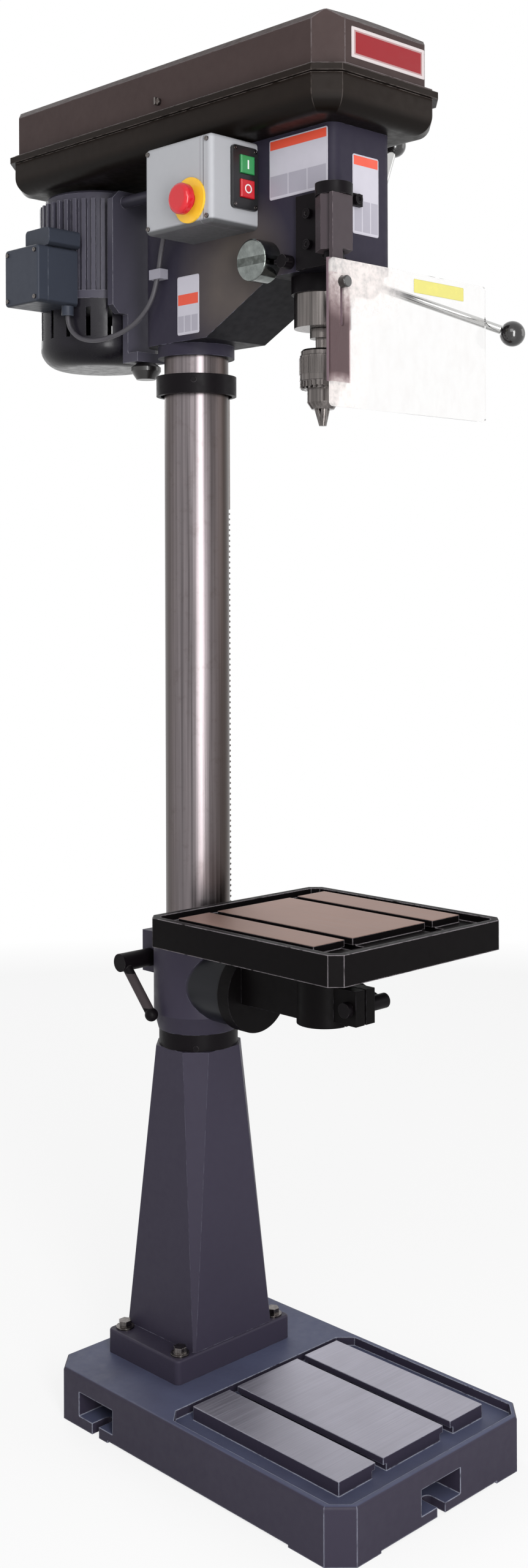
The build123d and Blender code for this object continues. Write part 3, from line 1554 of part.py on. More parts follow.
def make_terminal_cover():
    cover_x = -box_out + box_cover_depth
    inner = box_half_width - box_wall
    body = box_between(-box_out, cover_x, box_y - box_half_width, box_y + box_half_width, box_low_z,
                       box_top_z, box_corner)
    body = fillet(body.faces().sort_by(Axis.X)[0].edges(), box_wall)
    return body - box_between(-box_out + box_wall, cover_x + overrun, box_y - inner, box_y + inner,
                              box_low_z + box_wall, box_top_z - box_wall, box_corner - box_wall)


def make_capacitor_box():
    body = box_between(-cap_box_out, -motor_core_radius, cap_box_front, cap_box_back, box_top_z,
                       box_top_z + cap_box_height, box_corner)
    body -= post(motor_radius, motor_low_z, motor_top_z, 0, motor_y)
    return body


def make_box_gland():
    return ring(gland_radius, lead_radius + lead_clear, box_low_z - gland_length, box_low_z,
                -lead_box_x, lead_box_y)


def make_switch_gland():
    body = bar_y(gland_radius, -switch_back, -switch_back + gland_length, -lead_switch_x, lead_switch_z)
    return body - bar_y(lead_radius + lead_clear, -switch_back - overrun, -switch_back + gland_length + overrun,
                        -lead_switch_x, lead_switch_z)


def make_lead():
    path = Spline(*lead_points)
    start = Plane(origin=path @ 0, z_dir=path % 0)
    return sweep(start * Circle(lead_radius), path=path)


def make_lead_clip():
    x, y, z = lead_clip
    body = block(x - clip_half, -head_half_width, y - clip_half_length, y + clip_half_length, z - clip_half,
                 z + clip_half)
    way = [(after - before) / 2 for before, after in zip(lead_loop[-1], lead_rise[0])]
    start = [here - step for here, step in zip(lead_clip, way)]
    end = [here + step for here, step in zip(lead_clip, way)]
    return body - rod_between(start, end, lead_radius + clip_clear)


# Switch box

def make_switch_box():
    outer = block(-switch_out, -head_half_width, -switch_front, -switch_back, switch_low_z, switch_top_z)
    outer = fillet(outer.edges().filter_by(Axis.X) + outer.faces().sort_by(Axis.X)[0].edges(), switch_round)
    space = block(-switch_out + switch_wall, -head_half_width + overrun, -switch_front + switch_wall,
                  -switch_back - switch_wall, switch_low_z + switch_wall, switch_top_z - switch_wall)
    body = outer - space
    for z in (start_z, stop_z):
        body -= bar_y(button_stem_radius + gap, -switch_front - overrun, -switch_front + switch_wall + overrun,
                      -button_x, z)
    body -= bar_x(estop_neck_radius + gap, -switch_out - overrun, -switch_out + switch_wall + overrun,
                  -estop_y, estop_z)
    return body - bar_y(lead_radius + lead_clear, -switch_back - switch_wall - overrun, -switch_back + overrun,
                        -lead_switch_x, lead_switch_z)


def make_switch_plate():
    body = block(-plate_start_x, -plate_end_x, -switch_front - plate_thickness, -switch_front, plate_low_z,
                 plate_top_z)
    body = fillet(body.edges().filter_by(Axis.Y), plate_thickness)
    half = button_width / 2 + gap
    for z in (start_z, stop_z):
        body -= block(-button_x - half, -button_x + half, -switch_front - plate_thickness - overrun,
                      -switch_front + overrun, z - button_height / 2 - gap, z + button_height / 2 + gap)
    return body


def make_button(z):
    face = -switch_front - plate_thickness - button_stand
    back = -switch_front - button_travel - gap
    half = button_width / 2
    body = block(-button_x - half, -button_x + half, face, back, z - button_height / 2,
                 z + button_height / 2)
    body = fillet(body.faces().sort_by(Axis.Y)[0].edges(), button_stand / 2)
    return body + bar_y(button_stem_radius, back, back + button_stem, -button_x, z)


def make_estop_ring():
    out = -switch_out - estop_ring_thickness
    body = bar_x(estop_ring_radius, out, -switch_out, -estop_y, estop_z)
    return body - bar_x(estop_neck_radius + gap, out - overrun, -switch_out + overrun, -estop_y, estop_z)


def make_estop_button():
    neck_out = -switch_out - estop_ring_thickness - estop_neck
    face = neck_out - estop_head_depth
    body = bar_x(estop_head_radius, face, neck_out, -estop_y, estop_z)
    body = fillet(body.faces().sort_by(Axis.X)[0].edges(), estop_head_depth / 2)
    return body + bar_x(estop_neck_radius, neck_out, -switch_out + estop_stem_inside, -estop_y, estop_z)


# Chuck shield

def make_shield_bracket():
    left = -head_half_width - bracket_plate
    face = -head_front - bracket_plate
    body = block(left, -head_half_width, -bracket_plate_front, -bracket_plate_back, bracket_plate_low_z,
                 bracket_plate_top_z)
    straps = ((bracket_plate_low_z, post_low_z - gap, bracket_low_reach, lower_ear_radius),
              (post_top_z + gap, bracket_plate_top_z, bracket_front_reach, upper_ear_radius))
    for low, high, reach, radius in straps:
        body += block(left, -head_half_width, face, -bracket_plate_front, low, high)
        body += block(left, -reach, face, -head_front, low, high)
        ear = slab(((-post_x - radius, -post_y), (left, -head_front), (left + post_y - head_front, face),
                    (-post_x + radius, -post_y)), low, high)
        body += ear + post(radius, low, high, -post_x, -post_y)
    return body + post(post_pin_radius, post_low_z - gap, post_top_z + gap, -post_x, -post_y)


def make_shield_post():
    corner = post_flat_half / math.cos(math.pi / 6)
    body = hexagon_z(corner, post_low_z, post_top_z, -post_x, -post_y)
    left = -screw_x - tongue_half
    body += block(left, left + 2 * tongue_half, tongue_face, tongue_face + tongue_thickness,
                  tongue_low_z, post_top_z)
    body -= post(post_pin_radius + fit, post_low_z - overrun, post_top_z + overrun, -post_x, -post_y)
    return body - bar_y(shield_screw_radius + fit, tongue_face - overrun,
                        tongue_face + tongue_thickness + overrun, -screw_x, screw_z)


def shield_slot(y0, y1):
    """The upright slot that the clamp screw runs in."""
    half = bar_slot_width / 2
    body = block(-screw_x - half, -screw_x + half, y0, y1, bar_slot_low_z, bar_slot_high_z)
    for z in (bar_slot_low_z, bar_slot_high_z):
        body += bar_y(half, y0, y1, -screw_x, z)
    return body


def make_shield_pane():
    body = block(-pane_left, pane_right, pane_front, pane_back, pane_low_z, pane_low_z + pane_height)
    body = fillet(body.edges().filter_by(Axis.Y), pane_corner)
    return body - shield_slot(pane_front - overrun, pane_back + overrun)


def make_shield_bar():
    body = block(-bar_left, -bar_right, pane_back, bar_back, bar_low_z,
                 pane_low_z + pane_height)
    return body - shield_slot(pane_back - overrun, bar_back + overrun)


def make_shield_knob():
    body = bar_y(shield_knob_radius, knob_face - shield_knob_length, knob_face, -screw_x, screw_z)
    body = fillet(body.faces().sort_by(Axis.Y)[0].edges(), shield_screw_radius / 2)
    return body + bar_y(shield_screw_radius, knob_face, tongue_face + tongue_thickness,
                        -screw_x, screw_z)


def make_rack_rings():
    return Compound(children=[make_lower_ring(), make_upper_collar(), make_ring_screws()])


def make_terminal_boxes():
    return Compound(children=[make_terminal_box(), make_terminal_cover(), make_capacitor_box(),
                              make_box_gland()])


def make_all():
    save("base_casting", make_base())
    save("pedestal", make_pedestal())
    save("pedestal_bolts", make_pedestal_bolts())
    save("column", make_column())
    save("rack_rings", make_rack_rings())
    save("column_rack", make_rack())
    save("table_bracket", make_bracket())
    save("lift_pinion", make_pinion())
    save("lift_crank", make_crank())
    save("crank_grip", make_crank_grip())
    save("column_lock_lever", make_column_lever())
    save("table_arm", make_arm())
    save("tilt_bolt", make_tilt_bolt())
    save("table", Compound(children=[make_table(), make_table_post()]))
    save("table_lock_lever", make_table_lever())
    save("head_casting", make_head())
    save("quill_lock_knob", make_lock_knob())
    save("quill", Compound(children=[make_quill(), make_quill_bearings()]))
    save("quill_seal", make_quill_seal())
    save("spindle", make_spindle())
    save("chuck_body", make_chuck_body())
    save("chuck_sleeve", make_chuck_sleeve())
    for index in range(jaw_count):
        save("chuck_jaw_" + str(index + 1), make_jaw(index))
    save("feed_hub", Compound(children=[make_feed_hub(), make_feed_shaft()]))
    save("feed_spokes", make_feed_spokes())
    save("feed_knobs", make_feed_knobs())
    save("depth_stop_ring", make_stop_ring())
    save("depth_stop_knob", make_stop_knob())
    save("spring_cup", Compound(children=[make_spring_cup(), make_return_spring()]))
    save("spindle_pulley", make_spindle_pulley())
    save("pulley_supports", Compound(children=[make_idler_post(), make_pulley_bearings()]))
    save("idler_pulley", make_idler_pulley())
    save("motor_pulley", make_motor_pulley())
    save("spindle_belt", make_spindle_belt())
    save("motor_belt", make_motor_belt())
    save("guard_pan", Compound(children=[make_pan(), make_hinge_pins()]))
    save("guard_lid", make_lid())
    save("lid_latch", make_latch())
    save("motor_housing", Compound(children=[make_motor_housing(), make_motor_shield(),
                                             make_motor_bearings(), make_stator()]))
    save("motor_fan_cover", make_fan_cover())
    save("motor_rotor", make_motor_rotor())
    save("motor_mount", make_motor_mount())
    save("motor_knob", make_motor_knob())
    save("terminal_box", make_terminal_boxes())
    save("motor_lead", make_lead())
    save("lead_fittings", Compound(children=[make_lead_clip(), make_switch_gland()]))
    save("switch_box", make_switch_box())
    save("switch_plate", make_switch_plate())
    save("start_button", make_button(start_z))
    save("stop_button", make_button(stop_z))
    save("estop_ring", make_estop_ring())
    save("estop_button", make_estop_button())
    save("shield_bracket", make_shield_bracket())
    save("shield_post", make_shield_post())
    save("shield_bar", make_shield_bar())
    save("shield_pane", make_shield_pane())
    save("shield_knob", make_shield_knob())


os.makedirs("parts", exist_ok=True)
make_all()
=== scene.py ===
import math

import bmesh
import bpy
from bpy.props import FloatProperty, FloatVectorProperty, IntProperty, PointerProperty
from mathutils import Matrix, Vector


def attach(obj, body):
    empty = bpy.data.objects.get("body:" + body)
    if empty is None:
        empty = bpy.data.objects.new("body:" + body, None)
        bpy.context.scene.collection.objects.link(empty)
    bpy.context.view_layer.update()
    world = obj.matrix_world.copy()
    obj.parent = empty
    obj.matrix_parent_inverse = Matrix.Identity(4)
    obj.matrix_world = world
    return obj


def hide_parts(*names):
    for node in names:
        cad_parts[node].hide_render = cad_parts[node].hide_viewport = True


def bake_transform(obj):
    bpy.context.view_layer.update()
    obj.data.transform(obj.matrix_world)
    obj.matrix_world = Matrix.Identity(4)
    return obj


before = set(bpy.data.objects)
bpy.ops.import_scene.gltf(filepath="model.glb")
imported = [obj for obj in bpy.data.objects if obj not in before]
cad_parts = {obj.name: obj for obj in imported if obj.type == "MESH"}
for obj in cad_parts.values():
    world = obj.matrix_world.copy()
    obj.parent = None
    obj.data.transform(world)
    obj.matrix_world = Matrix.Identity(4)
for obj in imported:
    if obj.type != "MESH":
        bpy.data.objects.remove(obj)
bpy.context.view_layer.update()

bl_info = {
    "name": "Floor drill press",
    "version": (1, 0, 0),
    "blender": (4, 5, 0),
    "location": "3D View > Sidebar > Drill press",
    "description": "Finishes and small fittings of a floor standing drill press",
    "category": "Object",
}


# Colours and measures

def shade(code):
    """The linear colour of a paint chip written as six hexadecimal digits."""
    parts = [int(code[i:i + 2], 16) / 255 for i in (0, 2, 4)]
    return tuple(p / 12.92 if p <= 0.04045 else ((p + 0.055) / 1.055) ** 2.4 for p in parts)


def lighter(colour, share):
    """The colour with its brightness changed by a share, and an alpha of 1."""
    return tuple(min(c * (1 + share), 1.0) for c in colour[:3]) + (1.0,)


def chip(label, about, code):
    return FloatVectorProperty(name=label, description=about, default=shade(code), subtype="COLOR",
                               size=3, min=0.0, max=1.0)


def length(label, about, value):
    return FloatProperty(name=label, description=about, default=value, min=0.0, subtype="DISTANCE",
                         unit="LENGTH")


class PressColours(bpy.types.PropertyGroup):
    casting: chip("Casting paint", "Slate paint of the base, pedestal, bracket and head", "322e3c")
    # The head's paint is a darker copy of the casting paint: painted shade.
    head: chip("Head paint", "Slate paint of the head", "2b2834")
    # The boss's darker colour is painted shade from the table above it.
    boss_painted_shade: chip("Boss paint", "Darker gloss paint of the bracket's boss", "17181d")
    # Upward faces take this paler, bluer colour: a painted reflection of the light from above.
    painted_top_tone: chip("Casting dust", "Paler, bluer tone where dust lies on upward faces", "4e526a")
    # The bright line along the castings' rims is a painted highlight.
    rim: chip("Casting rims", "Bright worn line along the castings' edges", "a9adbd")
    arm: chip("Arm paint", "Near black paint of the table arm and the table's sides", "0c0a0b")
    # Pan and lid share one paint: the pan's near black is painted shade, the lid's lighter brown grey is painted
    # sheen.
    guard: chip("Guard paint", "Brown black paint of the belt guard's pan", "1a130f")
    lid: chip("Lid paint", "Brown grey paint of the belt guard's lid", "403534")
    # The warm patch on the head's side is a painted reflection.
    painted_warm_reflection: chip("Oil film", "Warm film of old oil on the head's side", "5f574f")
    motor: chip("Motor paint", "Dark grey paint of the motor", "413f4a")
    fan_cover: chip("Fan cover paint", "Black gloss paint of the motor's fan cover", "1b191f")
    steel: chip("Ground steel", "Ground and turned steel", "6f6a68")
    column: chip("Column steel", "Ground steel of the column", "787173")
    blued: chip("Blued steel", "Black oxide of rings, levers and the shield's bracket", "0f0c0f")
    post: chip("Shield post", "Brown black paint of the shield's post and bar", "3a3236")
    base_pad: chip("Base pads", "Ground pads of the base", "a5a3ae")
    table_pad: chip("Table pads", "Ground pads of the table, under a film of oil", "93766b")
    knob: chip("Knobs", "Black moulded balls and grips", "161414")
    box: chip("Switch box", "Pale grey of the switch box", "9fa0a4")
    green: chip("Start button", "Green of the start button", "2c8149")
    red: chip("Stop buttons", "Red of the stop button and the mushroom head", "ba1b25")
    yellow: chip("Stop ring", "Yellow of the ring behind the mushroom head", "e2b22c")
    plate: chip("Plates", "Pale ground of the blank plates", "b0adb7")
    panel: chip("Plate panels", "Grey panels on the blank plates", "7d7a86")
    band: chip("Plate band", "Orange red band across the blank plates", "c8452c")
    lead: chip("Lead", "Dark grey jacket of the motor's lead", "3a383d")


class PressSizes(bpy.types.PropertyGroup):
    wear_and_highlight: length("Edge wear", "Width of the worn line along painted edges", 0.0013)
    soft_edge: length("Soft edge", "Radius of the softened light along machined edges", 0.0008)
    plate: length("Plate thickness", "Thickness of the blank plates", 0.0008)
    plate_corner: length("Plate corner", "Corner radius of the blank plates", 0.003)
    screw: length("Screw head", "Radius of a cover screw's head", 0.0032)
    screw_rise: length("Screw rise", "Height of a cover screw's head", 0.0022)
    bolt: length("Bolt head", "Radius of a cap bolt's head", 0.0065)
    bolt_rise: length("Bolt rise", "Height of a cap bolt's head", 0.006)
    lead: length("Lead diameter", "Diameter of the motor's lead", 0.007)
    knurls: IntProperty(name="Knurls", description="Ribs around the chuck's sleeve", default=60, min=12,
                        max=120)
    teeth: IntProperty(name="Key teeth", description="Teeth for the chuck's key", default=30, min=12,
                       max=60)


class PressStudio(bpy.types.PropertyGroup):
    key: FloatProperty(name="Key lamp", description="Power of the large lamp at the front left",
                       default=27.0, min=0.0)
    fill: FloatProperty(name="Fill lamp", description="Power of the lamp at the right", default=11.0,
                        min=0.0)
    back: FloatProperty(name="Back lamp", description="Power of the lamp behind", default=20.0, min=0.0)
    strip: FloatProperty(name="Strip lamp", description="Power of the tall lamp that draws the column",
                         default=56.0, min=0.0)
    room: FloatProperty(name="Room light", description="Strength of the room's even light", default=0.45,
                        min=0.0)
    floor: chip("Floor", "Pale floor", "f2f2f2")


# Node trees of the finishes

def open_finish(name):
    """A new material, its node tree and its shader."""
    finish = bpy.data.materials.new(name)
    finish.use_nodes = True
    return finish, finish.node_tree, finish.node_tree.nodes["Principled BSDF"]


def feed(tree, value, socket):
    """Links a socket to an input, or writes a plain value there."""
    if isinstance(value, bpy.types.NodeSocket):
        tree.links.new(value, socket)
    else:
        socket.default_value = value


def node(tree, kind, settings=None, **values):
    """A node with its settings, and its inputs written or linked by name."""
    made = tree.nodes.new(kind)
    for key, value in (settings or {}).items():
        setattr(made, key, value)
    for key, value in values.items():
        feed(tree, value, made.inputs[key.replace("_", " ")])
    return made


def sums(tree, operation, first, second=0.0, clamp=False):
    made = tree.nodes.new("ShaderNodeMath")
    made.operation = operation
    made.use_clamp = clamp
    feed(tree, first, made.inputs[0])
    feed(tree, second, made.inputs[1])
    return made.outputs[0]


def mixed(tree, share, first, second, blend="MIX"):
    made = tree.nodes.new("ShaderNodeMix")
    made.data_type = "RGBA"
    made.blend_type = blend
    feed(tree, share, made.inputs[0])
    feed(tree, first, made.inputs[6])
    feed(tree, second, made.inputs[7])
    return made.outputs[2]


def ranged(tree, value, low, high, to_low=0.0, to_high=1.0):
    made = node(tree, "ShaderNodeMapRange", Value=value)
    made.inputs["From Min"].default_value = low
    made.inputs["From Max"].default_value = high
    feed(tree, to_low, made.inputs["To Min"])
    feed(tree, to_high, made.inputs["To Max"])
    return made.outputs["Result"]


def place(tree, scale=(1.0, 1.0, 1.0), centre=(0.0, 0.0, 0.0), turn=(0.0, 0.0, 0.0)):
    """Object coordinates about a centre, turned and stretched for a pattern."""
    where = tree.nodes.new("ShaderNodeTexCoord")
    moved = node(tree, "ShaderNodeVectorMath", {"operation": "SUBTRACT"})
    tree.links.new(where.outputs["Object"], moved.inputs[0])
    moved.inputs[1].default_value = centre
    return node(tree, "ShaderNodeMapping", Vector=moved.outputs[0], Rotation=turn,
                Scale=scale).outputs["Vector"]


def grain(tree, where, size, detail=4.0, roughness=0.55):
    """Noise whose spots are about that size."""
    return node(tree, "ShaderNodeTexNoise", Vector=where, Scale=1 / size, Detail=detail,
                Roughness=roughness).outputs["Fac"]


def softened(tree, radius):
    """A normal that rounds the piece's edges."""
    return node(tree, "ShaderNodeBevel", {"samples": 4}, Radius=radius).outputs["Normal"]


def edges(tree, radius, breakup, unbroken=0.42):
    """1 along the piece's edges and 0 on its flats, broken up by a noise."""
    facing = tree.nodes.new("ShaderNodeNewGeometry")
    near = node(tree, "ShaderNodeVectorMath", {"operation": "DOT_PRODUCT"})
    tree.links.new(softened(tree, radius), near.inputs[0])
    tree.links.new(facing.outputs["Normal"], near.inputs[1])
    line = ranged(tree, near.outputs["Value"], 0.985, 0.86)
    return sums(tree, "MULTIPLY", line, ranged(tree, breakup, unbroken, unbroken + 0.18), clamp=True)


def inside(tree, low, high):
    """1 inside a box of the row frame and 0 outside it."""
    middle = [(a + b) / 2 for a, b in zip(low, high)]
    half = [(b - a) / 2 for a, b in zip(low, high)]
    apart = node(tree, "ShaderNodeSeparateXYZ", Vector=place(tree, centre=middle))
    share = 1.0
    for axis, reach in enumerate(half):
        away = sums(tree, "ABSOLUTE", apart.outputs[axis])
        share = sums(tree, "MULTIPLY", share, sums(tree, "LESS_THAN", away, reach))
    return share


def painted(name, colour, roughness, gloss=0.35, mottle=0.12, peel=0.0011, depth=0.00005, wear_and_highlight=None,
            width=0.0013, painted_top_tone=None, unbroken=0.42, under=None, painted_warm_reflection=None):
    """Paint on a casting or sheet: mottled colour, orange peel, a line along edges and a painted tone on upward
    faces.

    The edge line shows worn paint; given a bright colour it is a painted highlight. Faces that look down take
    painted shade by the share under. A painted warm reflection is a place, a reach and a colour.
    """
    finish, tree, shader = open_finish(name)
    broad = grain(tree, place(tree), 0.16, 3.0)
    fine = grain(tree, place(tree), 0.011, 5.0)
    skin = grain(tree, place(tree), peel, 2.0)
    shown = mixed(tree, broad, lighter(colour, -mottle), lighter(colour, mottle))
    shown = mixed(tree, sums(tree, "MULTIPLY", fine, 0.35), shown, lighter(colour, -2 * mottle))
    where = tree.nodes.new("ShaderNodeTexCoord")
    up = node(tree, "ShaderNodeSeparateXYZ", Vector=where.outputs["Normal"]).outputs["Z"]
    # Painted reflection: a warm patch around a place, standing in for warm light that the surface reflects.
    if painted_warm_reflection is not None:
        spot, reach, tone = painted_warm_reflection
        away = node(tree, "ShaderNodeVectorMath", {"operation": "LENGTH"})
        tree.links.new(place(tree, centre=spot), away.inputs[0])
        near = sums(tree, "MULTIPLY", ranged(tree, away.outputs["Value"], reach, reach * 0.3, 0.0, 0.75),
                    ranged(tree, broad, 0.25, 0.6, 0.5, 1.0))
        shown = mixed(tree, near, shown, lighter(tone, 0.0))
    # Painted light on upward faces: they take the colour given, a painted reflection where it is paler, painted
    # shade where it is darker.
    if painted_top_tone is not None:
        top_share = sums(tree, "MULTIPLY", ranged(tree, up, 0.75, 0.98), ranged(tree, broad, 0.3, 0.6, 0.6, 1.0))
        shown = mixed(tree, top_share, shown, lighter(painted_top_tone, 0.0))
    # Painted shade: faces that look down are darkened by the share under.
    if under is not None:
        shown = mixed(tree, ranged(tree, up, -0.1, -0.5), shown, lighter(colour, under))
    # Line along the edges in the colour given: worn paint, and a painted highlight where the colour is bright.
    if wear_and_highlight is not None:
        shown = mixed(tree, edges(tree, width, fine, unbroken), shown, lighter(wear_and_highlight, 0.0))
    feed(tree, shown, shader.inputs["Base Color"])
    feed(tree, ranged(tree, fine, 0.3, 0.7, roughness - 0.05, roughness + 0.09), shader.inputs["Roughness"])
    shader.inputs["Specular IOR Level"].default_value = gloss
    bump = node(tree, "ShaderNodeBump", Height=skin, Distance=depth, Strength=0.6,
                Normal=softened(tree, width))
    feed(tree, bump.outputs["Normal"], shader.inputs["Normal"])
    return finish


def worked(name, colour, roughness, streak=(300.0, 300.0, 3.0), contrast=0.25, depth=0.00002, centre=(0, 0, 0),
           stain=0.0, soft=0.0008, stain_colour=(0.06, 0.04, 0.03)):
    """Steel with tool marks: fine streaks along one way, a wider haze and a few stains."""
    finish, tree, shader = open_finish(name)
    lines = grain(tree, place(tree, streak, centre), 1.0, 3.0, 0.7)
    haze = grain(tree, place(tree), 0.07, 4.0)
    shown = mixed(tree, ranged(tree, lines, 0.3, 0.7), lighter(colour, -contrast), lighter(colour, contrast))
    shown = mixed(tree, sums(tree, "MULTIPLY", haze, 0.4), shown, lighter(colour, -0.3))
    if stain:
        spots = ranged(tree, grain(tree, place(tree), 0.02, 6.0, 0.65), 0.55, 0.75)
        shown = mixed(tree, sums(tree, "MULTIPLY", spots, stain), shown, tuple(stain_colour) + (1.0,))
    feed(tree, shown, shader.inputs["Base Color"])
    shader.inputs["Metallic"].default_value = 1.0
    feed(tree, ranged(tree, lines, 0.3, 0.7, roughness - 0.06, roughness + 0.08), shader.inputs["Roughness"])
    bump = node(tree, "ShaderNodeBump", Height=lines, Distance=depth, Strength=0.5,
                Normal=softened(tree, soft))
    feed(tree, bump.outputs["Normal"], shader.inputs["Normal"])
    return finish


def moulded(name, colour, roughness, speck=0.0008, depth=0.00002, coat=0.0, gloss=0.5, soft=0.001, scuff=0.15):
    """Moulded plastic or rubber: an even colour, faint scuffs and a fine texture."""
    finish, tree, shader = open_finish(name)
    fine = grain(tree, place(tree), speck, 2.0)
    rub = ranged(tree, grain(tree, place(tree), 0.009, 5.0, 0.6), 0.5, 0.75)
    shown = mixed(tree, sums(tree, "MULTIPLY", rub, scuff), lighter(colour, 0.0), lighter(colour, 0.6))
    feed(tree, shown, shader.inputs["Base Color"])
    feed(tree, ranged(tree, rub, 0.0, 1.0, roughness, roughness + 0.12), shader.inputs["Roughness"])
    shader.inputs["Specular IOR Level"].default_value = gloss
    shader.inputs["Coat Weight"].default_value = coat
    shader.inputs["Coat Roughness"].default_value = 0.06
    bump = node(tree, "ShaderNodeBump", Height=fine, Distance=depth, Strength=0.5,
                Normal=softened(tree, soft))
    feed(tree, bump.outputs["Normal"], shader.inputs["Normal"])
    return finish


def ground_top(finish, colour, boxes, streak, roughness=0.34):
    """Lays ground metal over the paint inside boxes of the row frame, such as the pads of a table."""
    tree = finish.node_tree
    shader = tree.nodes["Principled BSDF"]
    paint = shader.inputs["Base Color"].links[0].from_socket
    matt = shader.inputs["Roughness"].links[0].from_socket
    share = 0.0
    for low, high in boxes:
        share = sums(tree, "MAXIMUM", share, inside(tree, low, high))
    lines = grain(tree, place(tree, streak), 1.0, 3.0, 0.7)
    haze = grain(tree, place(tree), 0.05, 4.0)
    metal = mixed(tree, ranged(tree, lines, 0.3, 0.7), lighter(colour, -0.16), lighter(colour, 0.14))
    metal = mixed(tree, sums(tree, "MULTIPLY", haze, 0.45), metal, lighter(colour, -0.35))
    feed(tree, mixed(tree, share, paint, metal), shader.inputs["Base Color"])
    polish = ranged(tree, lines, 0.3, 0.7, roughness - 0.05, roughness + 0.08)
    feed(tree, ranged(tree, share, 0.0, 1.0, matt, polish), shader.inputs["Roughness"])
    feed(tree, share, shader.inputs["Metallic"])
    return finish


def recoat(finish, share, colour, matt=None):
    """Lays another colour over part of a finish, and another roughness if one is given."""
    tree = finish.node_tree
    shader = tree.nodes["Principled BSDF"]
    under = shader.inputs["Base Color"].links[0].from_socket
    feed(tree, mixed(tree, share, under, lighter(colour, 0.0)), shader.inputs["Base Color"])
    if matt is not None:
        before = shader.inputs["Roughness"].links[0].from_socket
        feed(tree, ranged(tree, share, 0.0, 1.0, before, matt), shader.inputs["Roughness"])


def line(finish, low, high, colour):
    """Draws a seam of another colour where a box of the row frame cuts the piece."""
    recoat(finish, inside(finish.node_tree, low, high), colour)


def dress(finish, *names):
    """Gives CAD nodes a finish."""
    for name in names:
        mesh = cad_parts[name].data
        mesh.materials.clear()
        mesh.materials.append(finish)


# Meshes of the added pieces

def piece(name, mesh, finish, body):
    """A finished piece at the origin, riding on a body."""
    mesh.materials.clear()
    mesh.materials.append(finish)
    made = bpy.data.objects.new(name, mesh)
    bpy.context.scene.collection.objects.link(made)
    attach(made, body)
    return made


def from_bmesh(name, shape, smooth=False):
    bmesh.ops.recalc_face_normals(shape, faces=shape.faces)
    for face in shape.faces:
        face.smooth = smooth
    mesh = bpy.data.meshes.new(name)
    shape.to_mesh(mesh)
    shape.free()
    return mesh


def frame_of(centre, across, up):
    """The matrix that puts a flat drawing's x, y and front on a face of the object."""
    across = Vector(across).normalized()
    up = Vector(up).normalized()
    out = across.cross(up)
    turned = Matrix((across, up, out)).transposed().to_4x4()
    return Matrix.Translation(Vector(centre)) @ turned


def plate_mesh(name, centre, across, up, width, height, thickness, corner, sides=6):
    """A flat plate with rounded corners, its back on the face that it lies on."""
    shape = bmesh.new()
    outline = []
    for quarter, (sx, sy) in enumerate(((1, 1), (-1, 1), (-1, -1), (1, -1))):
        for step in range(sides + 1):
            angle = math.pi / 2 * (quarter + step / sides)
            outline.append((sx * (width / 2 - corner) + corner * math.cos(angle),
                            sy * (height / 2 - corner) + corner * math.sin(angle)))
    lip = thickness * 0.35
    rings = [[shape.verts.new((x * s, y * t, z)) for x, y in outline]
             for z, s, t in ((0.0, 1, 1), (thickness - lip, 1, 1),
                             (thickness, 1 - 2 * lip / width, 1 - 2 * lip / height))]
    for low, high in zip(rings, rings[1:]):
        for i in range(len(outline)):
            j = (i + 1) % len(outline)
            shape.faces.new((low[i], low[j], high[j], high[i]))
    shape.faces.new(rings[-1])
    shape.faces.new(list(reversed(rings[0])))
    shape.transform(frame_of(centre, across, up))
    return from_bmesh(name, shape)


def turned_mesh(name, profile, centre, axis, sides=48):
    """A round piece turned about an axis from pairs of radius and height, closed at both ends."""
    shape = bmesh.new()
    rings = [[shape.verts.new((r * math.cos(2 * math.pi * i / sides), r * math.sin(2 * math.pi * i / sides), h))
              for i in range(sides)] for r, h in profile]
    for low, high in zip(rings, rings[1:]):
        for i in range(sides):
            j = (i + 1) % sides
            shape.faces.new((low[i], low[j], high[j], high[i]))
    shape.faces.new(rings[-1])
    shape.faces.new(list(reversed(rings[0])))
    shape.transform(Matrix.Translation(Vector(centre))
                    @ Vector((0, 0, 1)).rotation_difference(Vector(axis)).to_matrix().to_4x4())
    mesh = from_bmesh(name, shape, True)
    return mesh


# Node trees for what repeats

def start_tree(name, inputs):
    """A geometry tree with its named inputs, each a label, a socket kind and a default."""
    tree = bpy.data.node_groups.new(name, "GeometryNodeTree")
    tree.is_modifier = True
    tree.interface.new_socket("Geometry", in_out="INPUT", socket_type="NodeSocketGeometry")
    for label, kind, default in inputs:
        made = tree.interface.new_socket(label, in_out="INPUT", socket_type="NodeSocket" + kind)
        if default is not None:
            made.default_value = default
    tree.interface.new_socket("Geometry", in_out="OUTPUT", socket_type="NodeSocketGeometry")
    return tree, tree.nodes.new("NodeGroupInput")


def end_tree(tree, given, instances):
    """Realizes the instances, sets their finish and closes the tree."""
    real = tree.nodes.new("GeometryNodeRealizeInstances")
    tree.links.new(instances, real.inputs[0])
    finished = tree.nodes.new("GeometryNodeSetMaterial")
    tree.links.new(real.outputs[0], finished.inputs["Geometry"])
    tree.links.new(given.outputs["Finish"], finished.inputs["Material"])
    out = tree.nodes.new("NodeGroupOutput")
    tree.links.new(finished.outputs[0], out.inputs[0])
    return tree


